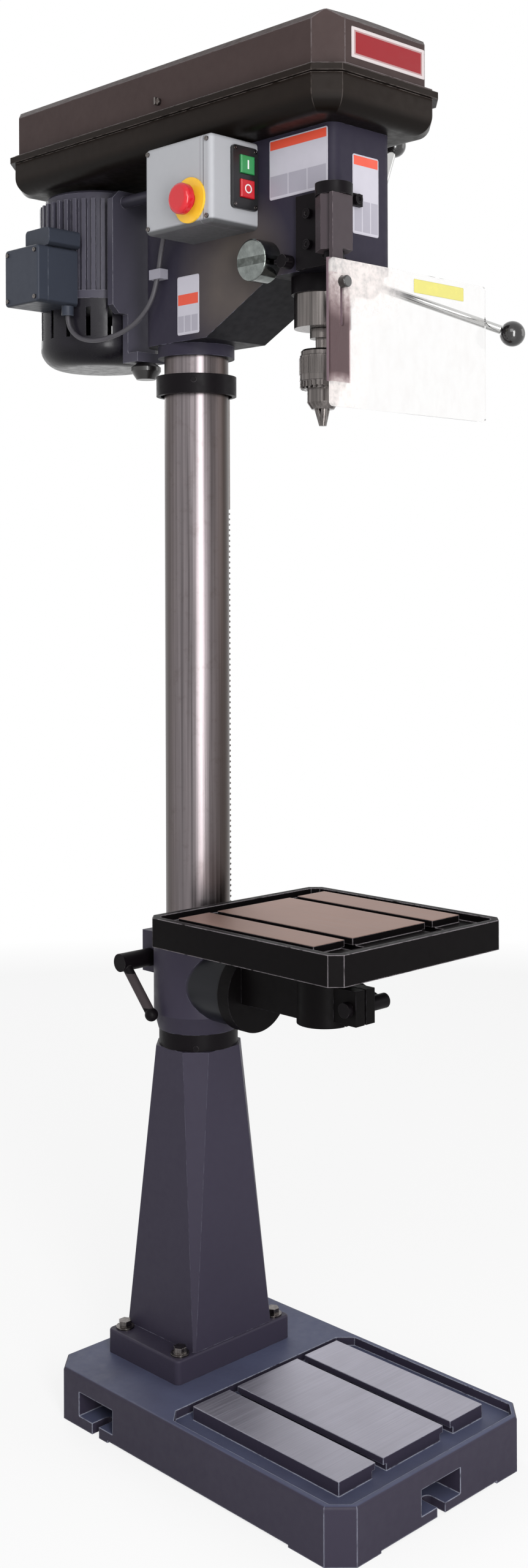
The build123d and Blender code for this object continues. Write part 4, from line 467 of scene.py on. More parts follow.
def screw_tree():
    """A socket screw on each point, its head along the point's own aim."""
    tree, given = start_tree("Socket screws", (
        ("Head Radius", "Float", 0.003), ("Head Height", "Float", 0.002), ("Socket Radius", "Float", 0.0015),
        ("Finish", "Material", None)))
    head = node(tree, "GeometryNodeMeshCylinder", Vertices=24, Radius=given.outputs["Head Radius"],
                Depth=given.outputs["Head Height"])
    hole = node(tree, "GeometryNodeMeshCylinder", Vertices=6, Radius=given.outputs["Socket Radius"],
                Depth=given.outputs["Head Height"])
    lift = node(tree, "ShaderNodeCombineXYZ", Z=sums(tree, "MULTIPLY", given.outputs["Head Height"], 0.45))
    seat = node(tree, "ShaderNodeCombineXYZ", Z=sums(tree, "MULTIPLY", given.outputs["Head Height"], 0.6))
    head_up = node(tree, "GeometryNodeTransform", Geometry=head.outputs["Mesh"], Translation=lift.outputs[0])
    hole_up = node(tree, "GeometryNodeTransform", Geometry=hole.outputs["Mesh"], Translation=seat.outputs[0])
    hole_top = node(tree, "GeometryNodeTransform", Geometry=hole_up.outputs[0], Translation=seat.outputs[0])
    cut = tree.nodes.new("GeometryNodeMeshBoolean")
    cut.operation = "DIFFERENCE"
    tree.links.new(head_up.outputs[0], cut.inputs["Mesh 1"])
    tree.links.new(hole_top.outputs[0], cut.inputs["Mesh 2"])
    aim = node(tree, "GeometryNodeInputNamedAttribute", {"data_type": "FLOAT_VECTOR"}, Name="aim")
    turn = node(tree, "FunctionNodeAlignRotationToVector", {"axis": "Z"}, Vector=aim.outputs["Attribute"])
    spread = node(tree, "GeometryNodeInstanceOnPoints", Points=given.outputs["Geometry"],
                  Instance=cut.outputs["Mesh"], Rotation=turn.outputs[0])
    return end_tree(tree, given, spread.outputs[0])


def rib_tree():
    """Ribs around a circle, each a small block that points outwards."""
    tree, given = start_tree("Ring of ribs", (
        ("Count", "Int", 30), ("Radius", "Float", 0.03), ("Rib Depth", "Float", 0.001),
        ("Rib Width", "Float", 0.002), ("Rib Height", "Float", 0.01), ("Finish", "Material", None)))
    circle = node(tree, "GeometryNodeMeshCircle", Vertices=given.outputs["Count"],
                  Radius=given.outputs["Radius"])
    size = node(tree, "ShaderNodeCombineXYZ", X=given.outputs["Rib Depth"], Y=given.outputs["Rib Width"],
                Z=given.outputs["Rib Height"])
    rib = node(tree, "GeometryNodeMeshCube", Size=size.outputs[0])
    spot = tree.nodes.new("GeometryNodeInputPosition")
    turn = node(tree, "FunctionNodeAlignRotationToVector", {"axis": "X"}, Vector=spot.outputs[0])
    spread = node(tree, "GeometryNodeInstanceOnPoints", Points=circle.outputs["Mesh"],
                  Instance=rib.outputs["Mesh"], Rotation=turn.outputs[0])
    return end_tree(tree, given, spread.outputs[0])


def grown(name, tree, mesh, values, matrix=None):
    """The plain mesh that a geometry tree makes with these values of its named inputs."""
    holder = bpy.data.objects.new(name, mesh)
    bpy.context.scene.collection.objects.link(holder)
    modifier = holder.modifiers.new(name, "NODES")
    modifier.node_group = tree
    for item in tree.interface.items_tree:
        if item.item_type == "SOCKET" and item.in_out == "INPUT" and item.name in values:
            modifier[item.identifier] = values[item.name]
    depsgraph = bpy.context.evaluated_depsgraph_get()
    plain = bpy.data.meshes.new_from_object(holder.evaluated_get(depsgraph))
    holder.modifiers.remove(modifier)
    bpy.data.objects.remove(holder)
    if not plain.polygons:
        raise RuntimeError(name + " came out empty")
    if matrix is not None:
        plain.transform(matrix)
    plain.name = name
    return plain


def points_mesh(name, points):
    """Loose points, each a place and an aim."""
    mesh = bpy.data.meshes.new(name)
    mesh.from_pydata([p for p, _ in points], [], [])
    aim = mesh.attributes.new("aim", "FLOAT_VECTOR", "POINT")
    for i, (_, way) in enumerate(points):
        aim.data[i].vector = way
    return mesh


def screws(name, points, radius, rise, finish, body):
    """One mesh of socket screws for a body."""
    tree = bpy.data.node_groups.get("Socket screws") or screw_tree()
    mesh = grown(name, tree, points_mesh(name + "_points", points),
                 {"Head Radius": radius, "Head Height": rise, "Socket Radius": radius * 0.5, "Finish": finish})
    return piece(name, mesh, finish, body)


def ribs(name, count, radius, depth, width, height, finish, body, centre, axis):
    """One mesh of ribs around an axis."""
    tree = bpy.data.node_groups.get("Ring of ribs") or rib_tree()
    turn = Matrix.Translation(Vector(centre)) @ Vector((0, 0, 1)).rotation_difference(
        Vector(axis)).to_matrix().to_4x4()
    mesh = grown(name, tree, bpy.data.meshes.new(name + "_start"),
                 {"Count": count, "Radius": radius, "Rib Depth": depth, "Rib Width": width,
                  "Rib Height": height, "Finish": finish}, turn)
    return piece(name, mesh, finish, body)


# Operators

class PRESS_OT_castings(bpy.types.Operator):
    """Paint the base, pedestal, table bracket, arm, table and head, with their ground faces"""
    bl_idname = "drill_press.castings"
    bl_label = "Paint the castings"

    def execute(self, context):
        colours = context.scene.press_colours
        sizes = context.scene.press_sizes
        # Downward faces of the pedestal get painted shade.
        slate = painted("slate_casting_paint", colours.casting, 0.46, 0.16, wear_and_highlight=shade("6a6a78"),
                        width=sizes.wear_and_highlight, under=-0.5)
        # The head takes a darker copy of the casting paint as painted shade, with painted shade on its downward
        # faces and a painted warm reflection on its left side.
        head = painted("slate_head_paint", colours.head, 0.46, 0.1, wear_and_highlight=shade("6a6a78"),
                       width=sizes.wear_and_highlight, under=-0.85, painted_warm_reflection=((-0.056, -0.14, 1.585), 0.12, colours.painted_warm_reflection))
        # The base's bright line along its rims is a painted highlight, and its upward faces take a paler, bluer
        # painted reflection.
        base = painted("slate_base_paint", colours.casting, 0.46, 0.18, wear_and_highlight=colours.rim, width=0.0022,
                       painted_top_tone=colours.painted_top_tone, unbroken=0.3)
        ground_top(base, colours.base_pad, [((-0.15, -0.43, 0.0775), (0.15, -0.13, 0.09))],
                   (5.0, 700.0, 700.0), 0.46)
        black = painted("arm_black_paint", colours.arm, 0.42, 0.05, 0.3, wear_and_highlight=shade("3a383c"),
                        width=sizes.wear_and_highlight)
        table = painted("table_black_paint", colours.arm, 0.42, 0.04, 0.3, wear_and_highlight=shade("a29ba0"), width=0.002,
                        unbroken=0.3)
        ground_top(table, colours.table_pad, [((-0.139, -0.374, 0.7195), (0.139, -0.118, 0.73))],
                   (700.0, 5.0, 700.0), 0.46)
        # Downward faces of the bracket get painted shade.
        bracket = painted("slate_bracket_paint", colours.casting, 0.46, 0.16, wear_and_highlight=shade("6a6a78"),
                          width=sizes.wear_and_highlight, under=-0.5)
        # Painted shade: the bracket's boss under the table takes a darker, glossier coat for the table's shadow.
        tree = bracket.node_tree
        away = node(tree, "ShaderNodeVectorMath", {"operation": "LENGTH"})
        tree.links.new(place(tree, (1.0, 1.0, 0.0)), away.inputs[0])
        share = sums(tree, "MULTIPLY", ranged(tree, away.outputs["Value"], 0.0645, 0.068),
                     inside(tree, (-0.06, -0.2, 0.5), (0.06, 0.0, 0.8)))
        recoat(bracket, share, colours.boss_painted_shade, 0.3)
        dress(slate, "pedestal")
        dress(bracket, "table_bracket")
        dress(head, "head_casting")
        dress(base, "base_casting")
        dress(black, "table_arm")
        dress(table, "table")
        return {"FINISHED"}


class PRESS_OT_steel(bpy.types.Operator):
    """Finish the column, rack, rings, levers, quill, chuck, feed and bolts"""
    bl_idname = "drill_press.steel"
    bl_label = "Finish the steel"

    def execute(self, context):
        colours = context.scene.press_colours
        soft = context.scene.press_sizes.soft_edge
        column = worked("column_ground_steel", colours.column, 0.32, (160.0, 160.0, 1.2), 0.5, 0.00002,
                        stain=0.3, soft=soft)
        # Painted shade: the column's two sides, as the camera sees them, are darkened to a brown grey, and the
        # middle keeps the lit steel.
        tree = column.node_tree
        aside = node(tree, "ShaderNodeVectorMath", {"operation": "DOT_PRODUCT"})
        tree.links.new(place(tree), aside.inputs[0])
        aside.inputs[1].default_value = (0.7071, -0.7071, 0.0)
        right = ranged(tree, aside.outputs["Value"], 0.016, 0.04, 0.0, 0.95)
        left = ranged(tree, aside.outputs["Value"], -0.022, -0.042, 0.0, 0.85)
        recoat(column, sums(tree, "MAXIMUM", left, right), shade("3d332f"))
        turned = worked("turned_steel", colours.steel, 0.22, (210.0, 210.0, 4.0), 0.55, 0.000006, soft=soft)
        across = worked("cross_turned_steel", colours.steel, 0.24, (1100.0, 2.0, 2.0), 0.2, soft=soft)
        rack = worked("rack_steel", lighter(colours.steel, 0.1), 0.34, (40.0, 40.0, 40.0), 0.25, soft=soft,
                      stain=0.3)
        blued = painted("blued_steel", colours.blued, 0.4, 0.07, 0.2, 0.0006, 0.00002, shade("5a5658"), 0.0007)
        chrome = worked("polished_chrome", (0.22, 0.24, 0.23), 0.13, (60.0, 60.0, 60.0), 0.35, 0.000004,
                        soft=soft)
        rod = worked("chromed_rod", (0.62, 0.62, 0.61), 0.14, (25.0, 25.0, 25.0), 0.08, 0.000004, soft=soft)
        alloy = worked("cast_alloy", (0.55, 0.55, 0.56), 0.38, (90.0, 90.0, 90.0), 0.12, 0.00003, soft=soft)
        dress(column, "column")
        dress(turned, "quill", "spindle", "chuck_body", "chuck_sleeve", "chuck_jaw_1", "chuck_jaw_2",
              "chuck_jaw_3", "pedestal_bolts", "motor_rotor", "pulley_supports")
        dress(across, "tilt_bolt", "lift_pinion", "lid_latch")
        dress(rack, "column_rack")
        dress(blued, "rack_rings", "quill_lock_knob", "quill_seal", "depth_stop_knob", "lift_crank",
              "table_lock_lever", "feed_hub", "shield_bracket")
        lever = painted("column_lever_paint", colours.blued, 0.4, 0.07, 0.2, 0.0006, 0.00002, shade("5a5658"),
                        0.0007)
        line(lever, (-0.2, -0.1, 0.566), (-0.05, 0.2, 0.6085), shade("3d3739"))
        dress(lever, "column_lock_lever")
        dress(painted("shield_post_paint", colours.post, 0.4, 0.2, 0.15, 0.0012, 0.00003, shade("857a7e"),
                      0.001), "shield_post")
        # The bar's own brown purple is lifted to stand in for light that the clear pane's shadow keeps off it:
        # partly painted light.
        dress(painted("shield_bar_paint", shade("705e65"), 0.45, 0.1, 0.15, 0.0012, 0.00003, shade("857a7e"),
                      0.001), "shield_bar")
        # Painted reflection: a dark band around the spring cup at the dial's height stands in for a dark thing
        # mirrored in the chrome.
        tree, middle = chrome.node_tree, 1.592
        belt = inside(tree, (-0.3, -0.5, middle - 0.007), (0.0, 0.0, middle + 0.004))
        dark_reflection_band = sums(tree, "MULTIPLY", belt, ranged(tree, grain(tree, place(tree), 0.008, 3.0), 0.3, 0.6,
                                                        0.3, 0.75))
        recoat(chrome, dark_reflection_band, shade("30332f"))
        dress(chrome, "spring_cup")
        dress(rod, "feed_spokes")
        dress(alloy, "depth_stop_ring", "spindle_pulley", "idler_pulley", "motor_pulley")
        return {"FINISHED"}


class PRESS_OT_guard(bpy.types.Operator):
    """Paint the belt guard and the belts, and put the blank plate on the lid's front"""
    bl_idname = "drill_press.guard"
    bl_label = "Finish the belt guard"

    def execute(self, context):
        colours = context.scene.press_colours
        sizes = context.scene.press_sizes
        # One guard paint in a shaded and a lit copy: the pan's near black is painted shade, with painted shade on
        # its downward faces; the lid's lighter brown grey is painted sheen, and its upward faces take painted
        # shade.
        pan = painted("guard_brown_black_paint", colours.guard, 0.36, 0.09, 0.35, 0.0016, 0.00004,
                      shade("6b6360"), 0.0018, unbroken=0.36, under=-0.6)
        lid = painted("lid_brown_grey_paint", colours.lid, 0.42, 0.07, 0.25, 0.0016, 0.00004,
                      shade("8d8688"), 0.0022, painted_top_tone=shade("241d1c"), unbroken=0.3)
        rubber = moulded("belt_rubber", (0.012, 0.012, 0.012), 0.7, 0.0006, 0.00005, gloss=0.3)
        dress(pan, "guard_pan")
        dress(lid, "guard_lid")
        dress(rubber, "spindle_belt")
        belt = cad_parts["motor_belt"]
        mesh = belt.data.copy()
        mesh.transform(belt.matrix_world)
        mesh.materials.clear()
        mesh.materials.append(rubber)
        run = bpy.data.objects.new("motor_belt_run", mesh)
        context.scene.collection.objects.link(run)
        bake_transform(run)
        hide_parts("motor_belt")
        red = printed("lid_plate_enamel", shade("7e1019"), shade("bcb3b3"), (0.005, -0.372, 1.8465),
                      (0.0645, 0.01, 0.0155), (0.062, 0.01, 0.0135))
        mesh = plate_mesh("lid_plate", (0.005, -0.372, 1.8465), (1, 0, 0), (0, 0, 1), 0.138, 0.039,
                          sizes.plate, sizes.plate_corner / 2)
        piece("lid_plate", mesh, red, "lid")
        return {"FINISHED"}


def printed(name, ground, line, centre, outer, inner):
    """An enamelled plate: one ground colour with a thin frame line between two boxes."""
    finish, tree, shader = open_finish(name)
    low = [c - h for c, h in zip(centre, outer)]
    high = [c + h for c, h in zip(centre, outer)]
    small = [c - h for c, h in zip(centre, inner)]
    large = [c + h for c, h in zip(centre, inner)]
    rim = sums(tree, "SUBTRACT", 1.0, inside(tree, low, high))
    hair = sums(tree, "SUBTRACT", inside(tree, low, high), inside(tree, small, large))
    fade = grain(tree, place(tree), 0.012, 5.0)
    body = mixed(tree, sums(tree, "MULTIPLY", fade, 0.2), lighter(ground, 0.0), lighter(ground, 0.35))
    body = mixed(tree, rim, body, lighter(line, 0.0))
    body = mixed(tree, sums(tree, "MULTIPLY", hair, 0.5), body, lighter(line, -0.1))
    feed(tree, body, shader.inputs["Base Color"])
    feed(tree, ranged(tree, fade, 0.3, 0.7, 0.3, 0.42), shader.inputs["Roughness"])
    shader.inputs["Specular IOR Level"].default_value = 0.25
    return finish


def banded(name, colours, middle, reach, top, bottom, panel, along, edge):
    """A blank plate: a coloured band between two heights, three grey panels below and a pale rim."""
    finish, tree, shader = open_finish(name)
    low = [c - h for c, h in zip(middle, reach)]
    high = [c + h for c, h in zip(middle, reach)]
    field = inside(tree, [c + edge for c in low], [c - edge for c in high])
    strip = inside(tree, (low[0] - 1, low[1] - 1, bottom), (high[0] + 1, high[1] + 1, top))
    third = (high[along] - low[along] - edge) / 3
    grey = 0.0
    for step in range(3):
        near, far = [c - 1 for c in low], [c + 1 for c in high]
        near[2], far[2] = low[2] + 2 * edge, panel
        near[along] = low[along] + third * step + 1.5 * edge
        far[along] = low[along] + third * (step + 1) + 0.5 * edge
        grey = sums(tree, "MAXIMUM", grey, inside(tree, near, far))
    fade = grain(tree, place(tree), 0.015, 5.0)
    shown = mixed(tree, sums(tree, "MULTIPLY", fade, 0.25), lighter(colours.plate, 0.0),
                  lighter(colours.plate, -0.3))
    shown = mixed(tree, sums(tree, "MULTIPLY", grey, 0.6), shown, lighter(colours.panel, 0.0))
    shown = mixed(tree, strip, shown, lighter(colours.band, 0.0))
    shown = mixed(tree, sums(tree, "SUBTRACT", 1.0, field), shown, lighter(colours.plate, -0.1))
    feed(tree, shown, shader.inputs["Base Color"])
    feed(tree, ranged(tree, fade, 0.3, 0.7, 0.3, 0.42), shader.inputs["Roughness"])
    return finish


class PRESS_OT_plates(bpy.types.Operator):
    """Put blank plates on the head's side and front, and a plain strip on the clear shield"""
    bl_idname = "drill_press.plates"
    bl_label = "Fit the blank plates"

    def execute(self, context):
        colours = context.scene.press_colours
        sizes = context.scene.press_sizes
        left = ((0, -1, 0), (0, 0, 1))
        front = ((1, 0, 0), (0, 0, 1))
        plates = (
            ("side_plate", (-0.056, -0.268, 1.7125), left, 0.108, 0.079, 1.7505, 1.7385, 1.704),
            ("front_plate", (0.0045, -0.331, 1.66975), front, 0.049, 0.1035, 1.7195, 1.7075, 1.662),
            ("lower_plate", (-0.056, -0.048, 1.5555), left, 0.046, 0.082, 1.571, 1.556, 1.541),
        )
        for name, centre, (across, up), width, height, top, bottom, panel in plates:
            reach = (width / 2, width / 2, height / 2)
            along = 0 if across == front[0] else 1
            finish = banded(name + "_enamel", colours, centre, reach, top, bottom, panel, along, 0.0018)
            mesh = plate_mesh(name, centre, across, up, width, height, sizes.plate, sizes.plate_corner)
            piece(name, mesh, finish, "frame")
        strip = moulded("strip_yellow_vinyl", shade("c0b962"), 0.4, 0.002, 0.00001)
        mesh = plate_mesh("shield_strip", (0.093, -0.3804, 1.5515), (1, 0, 0), (0, 0, 1), 0.1, 0.018,
                          sizes.plate / 2, sizes.plate_corner / 2)
        piece("shield_strip", mesh, strip, "shield")
        return {"FINISHED"}


class PRESS_OT_motor(bpy.types.Operator):
    """Paint the motor, its mount, fan cover and connection box, and set its screws"""
    bl_idname = "drill_press.motor"
    bl_label = "Finish the motor"

    def execute(self, context):
        colours = context.scene.press_colours
        sizes = context.scene.press_sizes
        # Downward faces of the motor, its connection box and fan cover get painted shade.
        paint = painted("motor_grey_paint", colours.motor, 0.4, 0.2, 0.15, 0.001, 0.00003, shade("8b8a94"),
                        0.0012, unbroken=0.34, under=-0.5)
        box = painted("connection_box_paint", shade("363a44"), 0.36, 0.16, 0.2, 0.0012, 0.00003,
                      shade("777b86"), 0.001, under=-0.5)
        cover = painted("fan_cover_black_paint", colours.fan_cover, 0.24, 0.18, 0.3, 0.006, 0.00001,
                        shade("55525a"), 0.001, under=-0.5)
        dress(paint, "motor_housing", "motor_mount")
        dress(cover, "motor_fan_cover")
        dress(box, "terminal_box")
        dress(moulded("motor_knob_black", colours.knob, 0.3, coat=0.3), "motor_knob")
        steel = bpy.data.materials["turned_steel"]
        side = (-1, 0, 0)
        corners = [((-0.155, y, z), side) for y in (0.1775, 0.2445) for z in (1.584, 1.652)]
        screws("connection_box_screws", corners, sizes.screw, sizes.screw_rise, steel, "motor")
        return {"FINISHED"}


class PRESS_OT_switchgear(bpy.types.Operator):
    """Finish the switch box, its plate and buttons and the emergency stop"""
    bl_idname = "drill_press.switchgear"
    bl_label = "Finish the switchgear"

    def execute(self, context):
        colours = context.scene.press_colours
        sizes = context.scene.press_sizes
        # Downward faces of the switch box get painted shade.
        box = painted("switch_box_grey_paint", colours.box, 0.42, 0.3, 0.05, 0.0012, 0.00003, shade("5d5960"),
                      0.0008, under=-0.8)
        line(box, (-0.2, -0.1755, 1.5), (0.0, -0.1743, 1.8), shade("4a464c"))
        line(box, (-0.2, -0.1690, 1.5), (0.0, -0.1682, 1.8), shade("77737a"))
        dress(box, "switch_box")
        dress(moulded("switch_plate_black", (0.012, 0.012, 0.013), 0.28), "switch_plate")
        dress(moulded("start_green", colours.green, 0.3, coat=0.2), "start_button")
        dress(moulded("stop_red", lighter(colours.red, -0.1), 0.3, coat=0.2), "stop_button")
        dress(moulded("mushroom_red", colours.red, 0.16, coat=0.3, gloss=0.3), "estop_button")
        dress(moulded("ring_yellow", colours.yellow, 0.35), "estop_ring")
        dress(moulded("knob_black", colours.knob, 0.16, coat=0.6), "feed_knobs", "crank_grip", "shield_knob")
        white = moulded("mark_white", (0.8, 0.8, 0.8), 0.4)
        bar = plate_mesh("start_mark", (-0.08, -0.198, 1.720), (1, 0, 0), (0, 0, 1), 0.0024, 0.012, 0.0003,
                         0.0004)
        piece("start_mark", bar, white, "start")
        ring = ribs("stop_mark", 40, 0.0052, 0.0018, 0.00085, 0.0003, white, "stop",
                    (-0.08, -0.19815, 1.688), (0, -1, 0))
        steel = bpy.data.materials["turned_steel"]
        front = (0, -1, 0)
        corners = [((x, -0.195, z), front) for x in (-0.1005, -0.0645) for z in (1.6655, 1.7395)]
        screws("switch_plate_screws", corners, sizes.screw * 0.8, sizes.screw_rise * 0.6, steel, "frame")
        side = (-1, 0, 0)
        corners = [((-0.139, y, z), side) for y in (-0.182, -0.062) for z in (1.646, 1.747)]
        screws("switch_box_screws", corners, sizes.screw, sizes.screw_rise, steel, "frame")
        return {"FINISHED"}


class PRESS_OT_chuck(bpy.types.Operator):
    """Cut the chuck's knurl and key teeth, the dial's marks and the shield bracket's bolts"""
    bl_idname = "drill_press.chuck"
    bl_label = "Cut the chuck and dial"

    def execute(self, context):
        sizes = context.scene.press_sizes
        steel = bpy.data.materials["turned_steel"]
        black = moulded("mark_black", (0.02, 0.02, 0.02), 0.5)
        ribs("chuck_knurl", sizes.knurls, 0.031, 0.0008, 0.0017, 0.022, steel, "sleeve", (0, -0.256, 1.4535),
             (0, 0, 1))
        ribs("chuck_teeth", sizes.teeth, 0.0295, 0.0022, 0.0032, 0.0075, steel, "sleeve", (0, -0.256, 1.4295),
             (0, 0, 1))
        ribs("dial_marks", 60, 0.035, 0.0003, 0.0005, 0.006, black, "depth_ring", (0.0755, -0.2066, 1.592),
             (1, 0, 0))
        ribs("dial_long_marks", 12, 0.035, 0.00035, 0.0008, 0.011, black, "depth_ring",
             (0.0732, -0.2066, 1.592), (1, 0, 0))
        dark = bpy.data.materials["blued_steel"]
        bolts = [((-0.063, -0.294, z), (-1, 0, 0)) for z in (1.602, 1.642)]
        bolts += [((-0.02, -0.338, 1.6602), (0, -1, 0))]
        screws("bracket_bolts", bolts, sizes.bolt, sizes.bolt_rise, dark, "frame")
        return {"FINISHED"}


class PRESS_OT_shield(bpy.types.Operator):
    """Make the clear shield's pane clear, with faint scuffs"""
    bl_idname = "drill_press.shield"
    bl_label = "Clear the shield"

    def execute(self, context):
        finish, tree, shader = open_finish("clear_shield_plastic")
        scuffs = ranged(tree, grain(tree, place(tree, (1.0, 1.0, 0.5)), 0.02, 6.0, 0.7), 0.45, 0.75)
        fog = 0.0
        for centre, stretch, outer, inner, most in (
                ((-0.062, -0.379, 1.552), (1.0, 1.0, 1.5), 0.1, 0.035, 1.0),
                ((-0.094, -0.379, 1.4), (1.0, 1.0, 1.6), 0.045, 0.02, 0.9),
                ((-0.062, -0.379, 1.465), (1.0, 1.0, 0.16), 0.02, 0.01, 0.3)):
            away = node(tree, "ShaderNodeVectorMath", {"operation": "LENGTH"})
            tree.links.new(place(tree, stretch, centre), away.inputs[0])
            fog = sums(tree, "MAXIMUM", fog, ranged(tree, away.outputs["Value"], outer, inner, 0.0, most))
        fog = sums(tree, "MULTIPLY", fog, ranged(tree, grain(tree, place(tree), 0.008, 5.0), 0.3, 0.6, 0.55, 1.0))
        worn = mixed(tree, scuffs, (0.97, 0.965, 0.96, 1.0), (0.93, 0.915, 0.905, 1.0))
        # Painted light: the pane in front of the shield's bar takes the lit bar's pinkish brown and lets less
        # through. This stands in for the bar that the pane's own shadow leaves dark.
        lit_bar_tint = inside(tree, (-0.113, -0.4, 1.4145), (-0.0765, -0.3, 1.55))
        worn = mixed(tree, lit_bar_tint, worn, (0.5, 0.32, 0.34, 1.0))
        feed(tree, mixed(tree, fog, worn, (0.78, 0.72, 0.7, 1.0)), shader.inputs["Base Color"])
        feed(tree, ranged(tree, scuffs, 0.0, 1.0, 0.03, 0.12), shader.inputs["Roughness"])
        clear = ranged(tree, lit_bar_tint, 0.0, 1.0, 0.99, 0.86)
        feed(tree, ranged(tree, fog, 0.0, 1.0, clear, 0.3), shader.inputs["Transmission Weight"])
        shader.inputs["IOR"].default_value = 1.2
        bump = node(tree, "ShaderNodeBump", Height=scuffs, Distance=0.00004, Strength=0.3)
        feed(tree, bump.outputs["Normal"], shader.inputs["Normal"])
        dress(finish, "shield_pane")
        return {"FINISHED"}


LEAD_POINTS = (
    (-0.096, 0.178, 1.566), (-0.0958, 0.177, 1.552), (-0.0945, 0.170, 1.538), (-0.091, 0.152, 1.525),
    (-0.084, 0.118, 1.5195), (-0.073, 0.061, 1.531), (-0.066, 0.022, 1.562), (-0.064, 0.008, 1.604),
    (-0.0665, -0.002, 1.638), (-0.075, -0.021, 1.660), (-0.080, -0.040, 1.666), (-0.080, -0.057, 1.666),
)


def route_points(name, points):
    """The points along one NURBS curve that has these control points."""
    route = bpy.data.curves.new(name, "CURVE")
    route.dimensions = "3D"
    route.resolution_u = 20
    spline = route.splines.new("NURBS")
    spline.points.add(len(points) - 1)
    for point, spot in zip(spline.points, points):
        point.co = spot + (1.0,)
    spline.order_u = 3
    spline.use_endpoint_u = True
    holder = bpy.data.objects.new(name, route)
    bpy.context.scene.collection.objects.link(holder)
    depsgraph = bpy.context.evaluated_depsgraph_get()
    traced = bpy.data.meshes.new_from_object(holder.evaluated_get(depsgraph))
    bpy.data.objects.remove(holder)
    return [point.co.copy() for point in traced.vertices]


def tube_mesh(name, points, radius, sides=16):
    """A tube along a row of points, without twist and closed at both ends."""
    shape = bmesh.new()
    rings = []
    across = None
    for i, spot in enumerate(points):
        way = (points[min(i + 1, len(points) - 1)] - points[max(i - 1, 0)]).normalized()
        across = across or way.orthogonal()
        across = (across - way * across.dot(way)).normalized()
        beside = way.cross(across)
        turns = [2 * math.pi * side / sides for side in range(sides)]
        rings.append([shape.verts.new(spot + (across * math.cos(a) + beside * math.sin(a)) * radius)
                      for a in turns])
    for low, high in zip(rings, rings[1:]):
        for i in range(sides):
            j = (i + 1) % sides
            shape.faces.new((low[i], low[j], high[j], high[i]))
    shape.faces.new(rings[-1])
    shape.faces.new(list(reversed(rings[0])))
    return from_bmesh(name, shape, True)


class PRESS_OT_lead(bpy.types.Operator):
    """Run the motor's lead from its connection box through the clip to the switch box"""
    bl_idname = "drill_press.lead"
    bl_label = "Run the motor's lead"

    def execute(self, context):
        colours = context.scene.press_colours
        sizes = context.scene.press_sizes
        rubber = moulded("lead_grey_rubber", colours.lead, 0.48, 0.0009, 0.00003)
        dress(moulded("clip_grey_plastic", shade("84828c"), 0.45), "lead_fittings")
        points = route_points("motor_lead_route", LEAD_POINTS)
        mesh = tube_mesh("motor_lead_jacket", points, sizes.lead / 2)
        mesh.materials.append(rubber)
        lead = bpy.data.objects.new("motor_lead_jacket", mesh)
        context.scene.collection.objects.link(lead)
        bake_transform(lead)
        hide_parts("motor_lead")
        return {"FINISHED"}


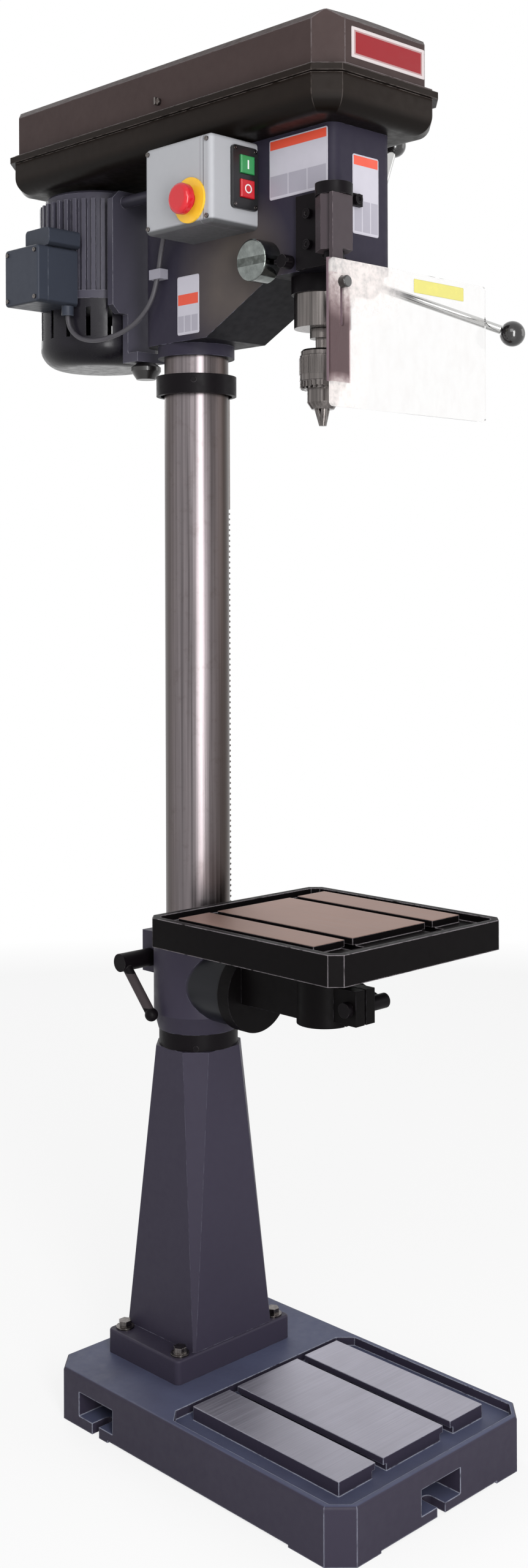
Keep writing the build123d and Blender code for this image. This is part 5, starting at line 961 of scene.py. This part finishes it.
class PRESS_OT_stage(bpy.types.Operator):
    """Lay the pale floor, set the room's light and lamps, and stand the camera"""
    bl_idname = "drill_press.stage"
    bl_label = "Set the stage"

    def execute(self, context):
        studio = context.scene.press_studio
        scene = context.scene
        scene.view_settings.view_transform = "Standard"
        shape = bmesh.new()
        bmesh.ops.create_circle(shape, cap_ends=True, segments=96, radius=40.0)
        mesh = from_bmesh("studio_floor", shape)
        if mesh.polygons[0].normal.z < 0:
            mesh.flip_normals()
        finish, tree, shader = open_finish("studio_floor_white")
        shader.inputs["Base Color"].default_value = lighter(studio.floor, 0.0)
        shader.inputs["Roughness"].default_value = 0.9
        shader.inputs["Specular IOR Level"].default_value = 0.1
        away = node(tree, "ShaderNodeVectorMath", {"operation": "LENGTH"})
        tree.links.new(place(tree), away.inputs[0])
        glow = node(tree, "ShaderNodeEmission", Strength=1.0)
        glow.inputs["Color"].default_value = (1.0, 1.0, 1.0, 1.0)
        blend = tree.nodes.new("ShaderNodeMixShader")
        seen = tree.nodes.new("ShaderNodeLightPath").outputs["Is Camera Ray"]
        far = ranged(tree, away.outputs["Value"], 0.8, 3.2)
        feed(tree, sums(tree, "MAXIMUM", far, sums(tree, "MULTIPLY", seen, 0.8)), blend.inputs[0])
        tree.links.new(shader.outputs[0], blend.inputs[1])
        tree.links.new(glow.outputs[0], blend.inputs[2])
        tree.links.new(blend.outputs[0], tree.nodes["Material Output"].inputs["Surface"])
        floor = bpy.data.objects.new("studio_floor", mesh)
        mesh.materials.append(finish)
        scene.collection.objects.link(floor)

        world = bpy.data.worlds.new("studio_room")
        scene.world = world
        world.use_nodes = True
        tree = world.node_tree
        back = tree.nodes["Background"]
        back.inputs["Color"].default_value = (1.0, 1.0, 1.0, 1.0)
        path = tree.nodes.new("ShaderNodeLightPath")
        seen = sums(tree, "MAXIMUM", path.outputs["Is Camera Ray"], path.outputs["Is Glossy Ray"])
        seen = sums(tree, "MAXIMUM", seen, path.outputs["Is Transmission Ray"])
        feed(tree, ranged(tree, seen, 0.0, 1.0, studio.room, 1.0), back.inputs["Strength"])

        lamps = (
            ("key_lamp", (-2.4, -2.0, 2.9), (0.0, -0.15, 1.1), 1.6, 1.6, studio.key),
            ("fill_lamp", (2.4, -1.9, 1.9), (0.0, -0.15, 1.1), 1.4, 1.8, studio.fill),
            ("back_lamp", (0.9, 2.7, 2.5), (0.0, 0.0, 1.2), 1.6, 1.6, studio.back),
            ("strip_lamp", (-1.2, -2.3, 1.25), (0.0, 0.0, 1.1), 0.6, 2.2, studio.strip),
        )
        for name, spot, target, width, height, power in lamps:
            data = bpy.data.lights.new(name, "AREA")
            data.shape = "RECTANGLE"
            data.size = width
            data.size_y = height
            data.energy = power
            lamp = bpy.data.objects.new(name, data)
            lamp.location = spot
            lamp.rotation_euler = (Vector(target) - Vector(spot)).to_track_quat("-Z", "Y").to_euler()
            lamp.visible_camera = False
            lamp.visible_transmission = False
            scene.collection.objects.link(lamp)

        heading = math.radians(-45.1)
        pitch = math.radians(0.1)
        roll = math.radians(0.2)
        ahead = Vector((-math.sin(heading), math.cos(heading), 0.0))
        right = Vector((math.cos(heading), math.sin(heading), 0.0))
        above = Vector((0.0, 0.0, 1.0))
        spot = -ahead * 2.4086 + right * 0.1723 + above * 1.1572
        sight = ahead * math.cos(pitch) + above * math.sin(pitch)
        lift = above * math.cos(pitch) - ahead * math.sin(pitch)
        side = right * math.cos(roll) - lift * math.sin(roll)
        head = right * math.sin(roll) + lift * math.cos(roll)
        data = bpy.data.cameras.new("studio_camera")
        data.sensor_width = 36.0
        data.sensor_fit = "AUTO"
        data.lens = 36.0 * 2729.0 / 2560.0
        data.shift_x = (431.0 - 517.0) / 2560.0
        data.shift_y = -(1280.0 - 957.6) / 2560.0
        data.dof.use_dof = False
        camera = bpy.data.objects.new("studio_camera", data)
        camera.matrix_world = Matrix.Translation(spot) @ Matrix((side, head, -sight)).transposed().to_4x4()
        scene.collection.objects.link(camera)
        scene.camera = camera
        return {"FINISHED"}


STEPS = (PRESS_OT_stage, PRESS_OT_lead, PRESS_OT_castings, PRESS_OT_steel, PRESS_OT_guard, PRESS_OT_plates,
         PRESS_OT_motor, PRESS_OT_switchgear, PRESS_OT_chuck, PRESS_OT_shield)


class PRESS_PT_panel(bpy.types.Panel):
    bl_idname = "PRESS_PT_panel"
    bl_label = "Drill press"
    bl_space_type = "VIEW_3D"
    bl_region_type = "UI"
    bl_category = "Drill press"

    def draw(self, context):
        layout = self.layout
        for group in (context.scene.press_sizes, context.scene.press_colours, context.scene.press_studio):
            box = layout.box()
            for name in group.__annotations__:
                box.prop(group, name)
        for step in STEPS:
            layout.operator(step.bl_idname)


GROUPS = (PressColours, PressSizes, PressStudio)


def register():
    for part in GROUPS + STEPS + (PRESS_PT_panel,):
        bpy.utils.register_class(part)
    bpy.types.Scene.press_colours = PointerProperty(type=PressColours)
    bpy.types.Scene.press_sizes = PointerProperty(type=PressSizes)
    bpy.types.Scene.press_studio = PointerProperty(type=PressStudio)


def unregister():
    del bpy.types.Scene.press_colours
    del bpy.types.Scene.press_sizes
    del bpy.types.Scene.press_studio
    for part in reversed(GROUPS + STEPS + (PRESS_PT_panel,)):
        bpy.utils.unregister_class(part)


def main():
    """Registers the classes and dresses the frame."""
    register()
    for step in STEPS:
        getattr(bpy.ops.drill_press, step.bl_idname.split(".")[1])()


if __name__ == "__main__":
    main()
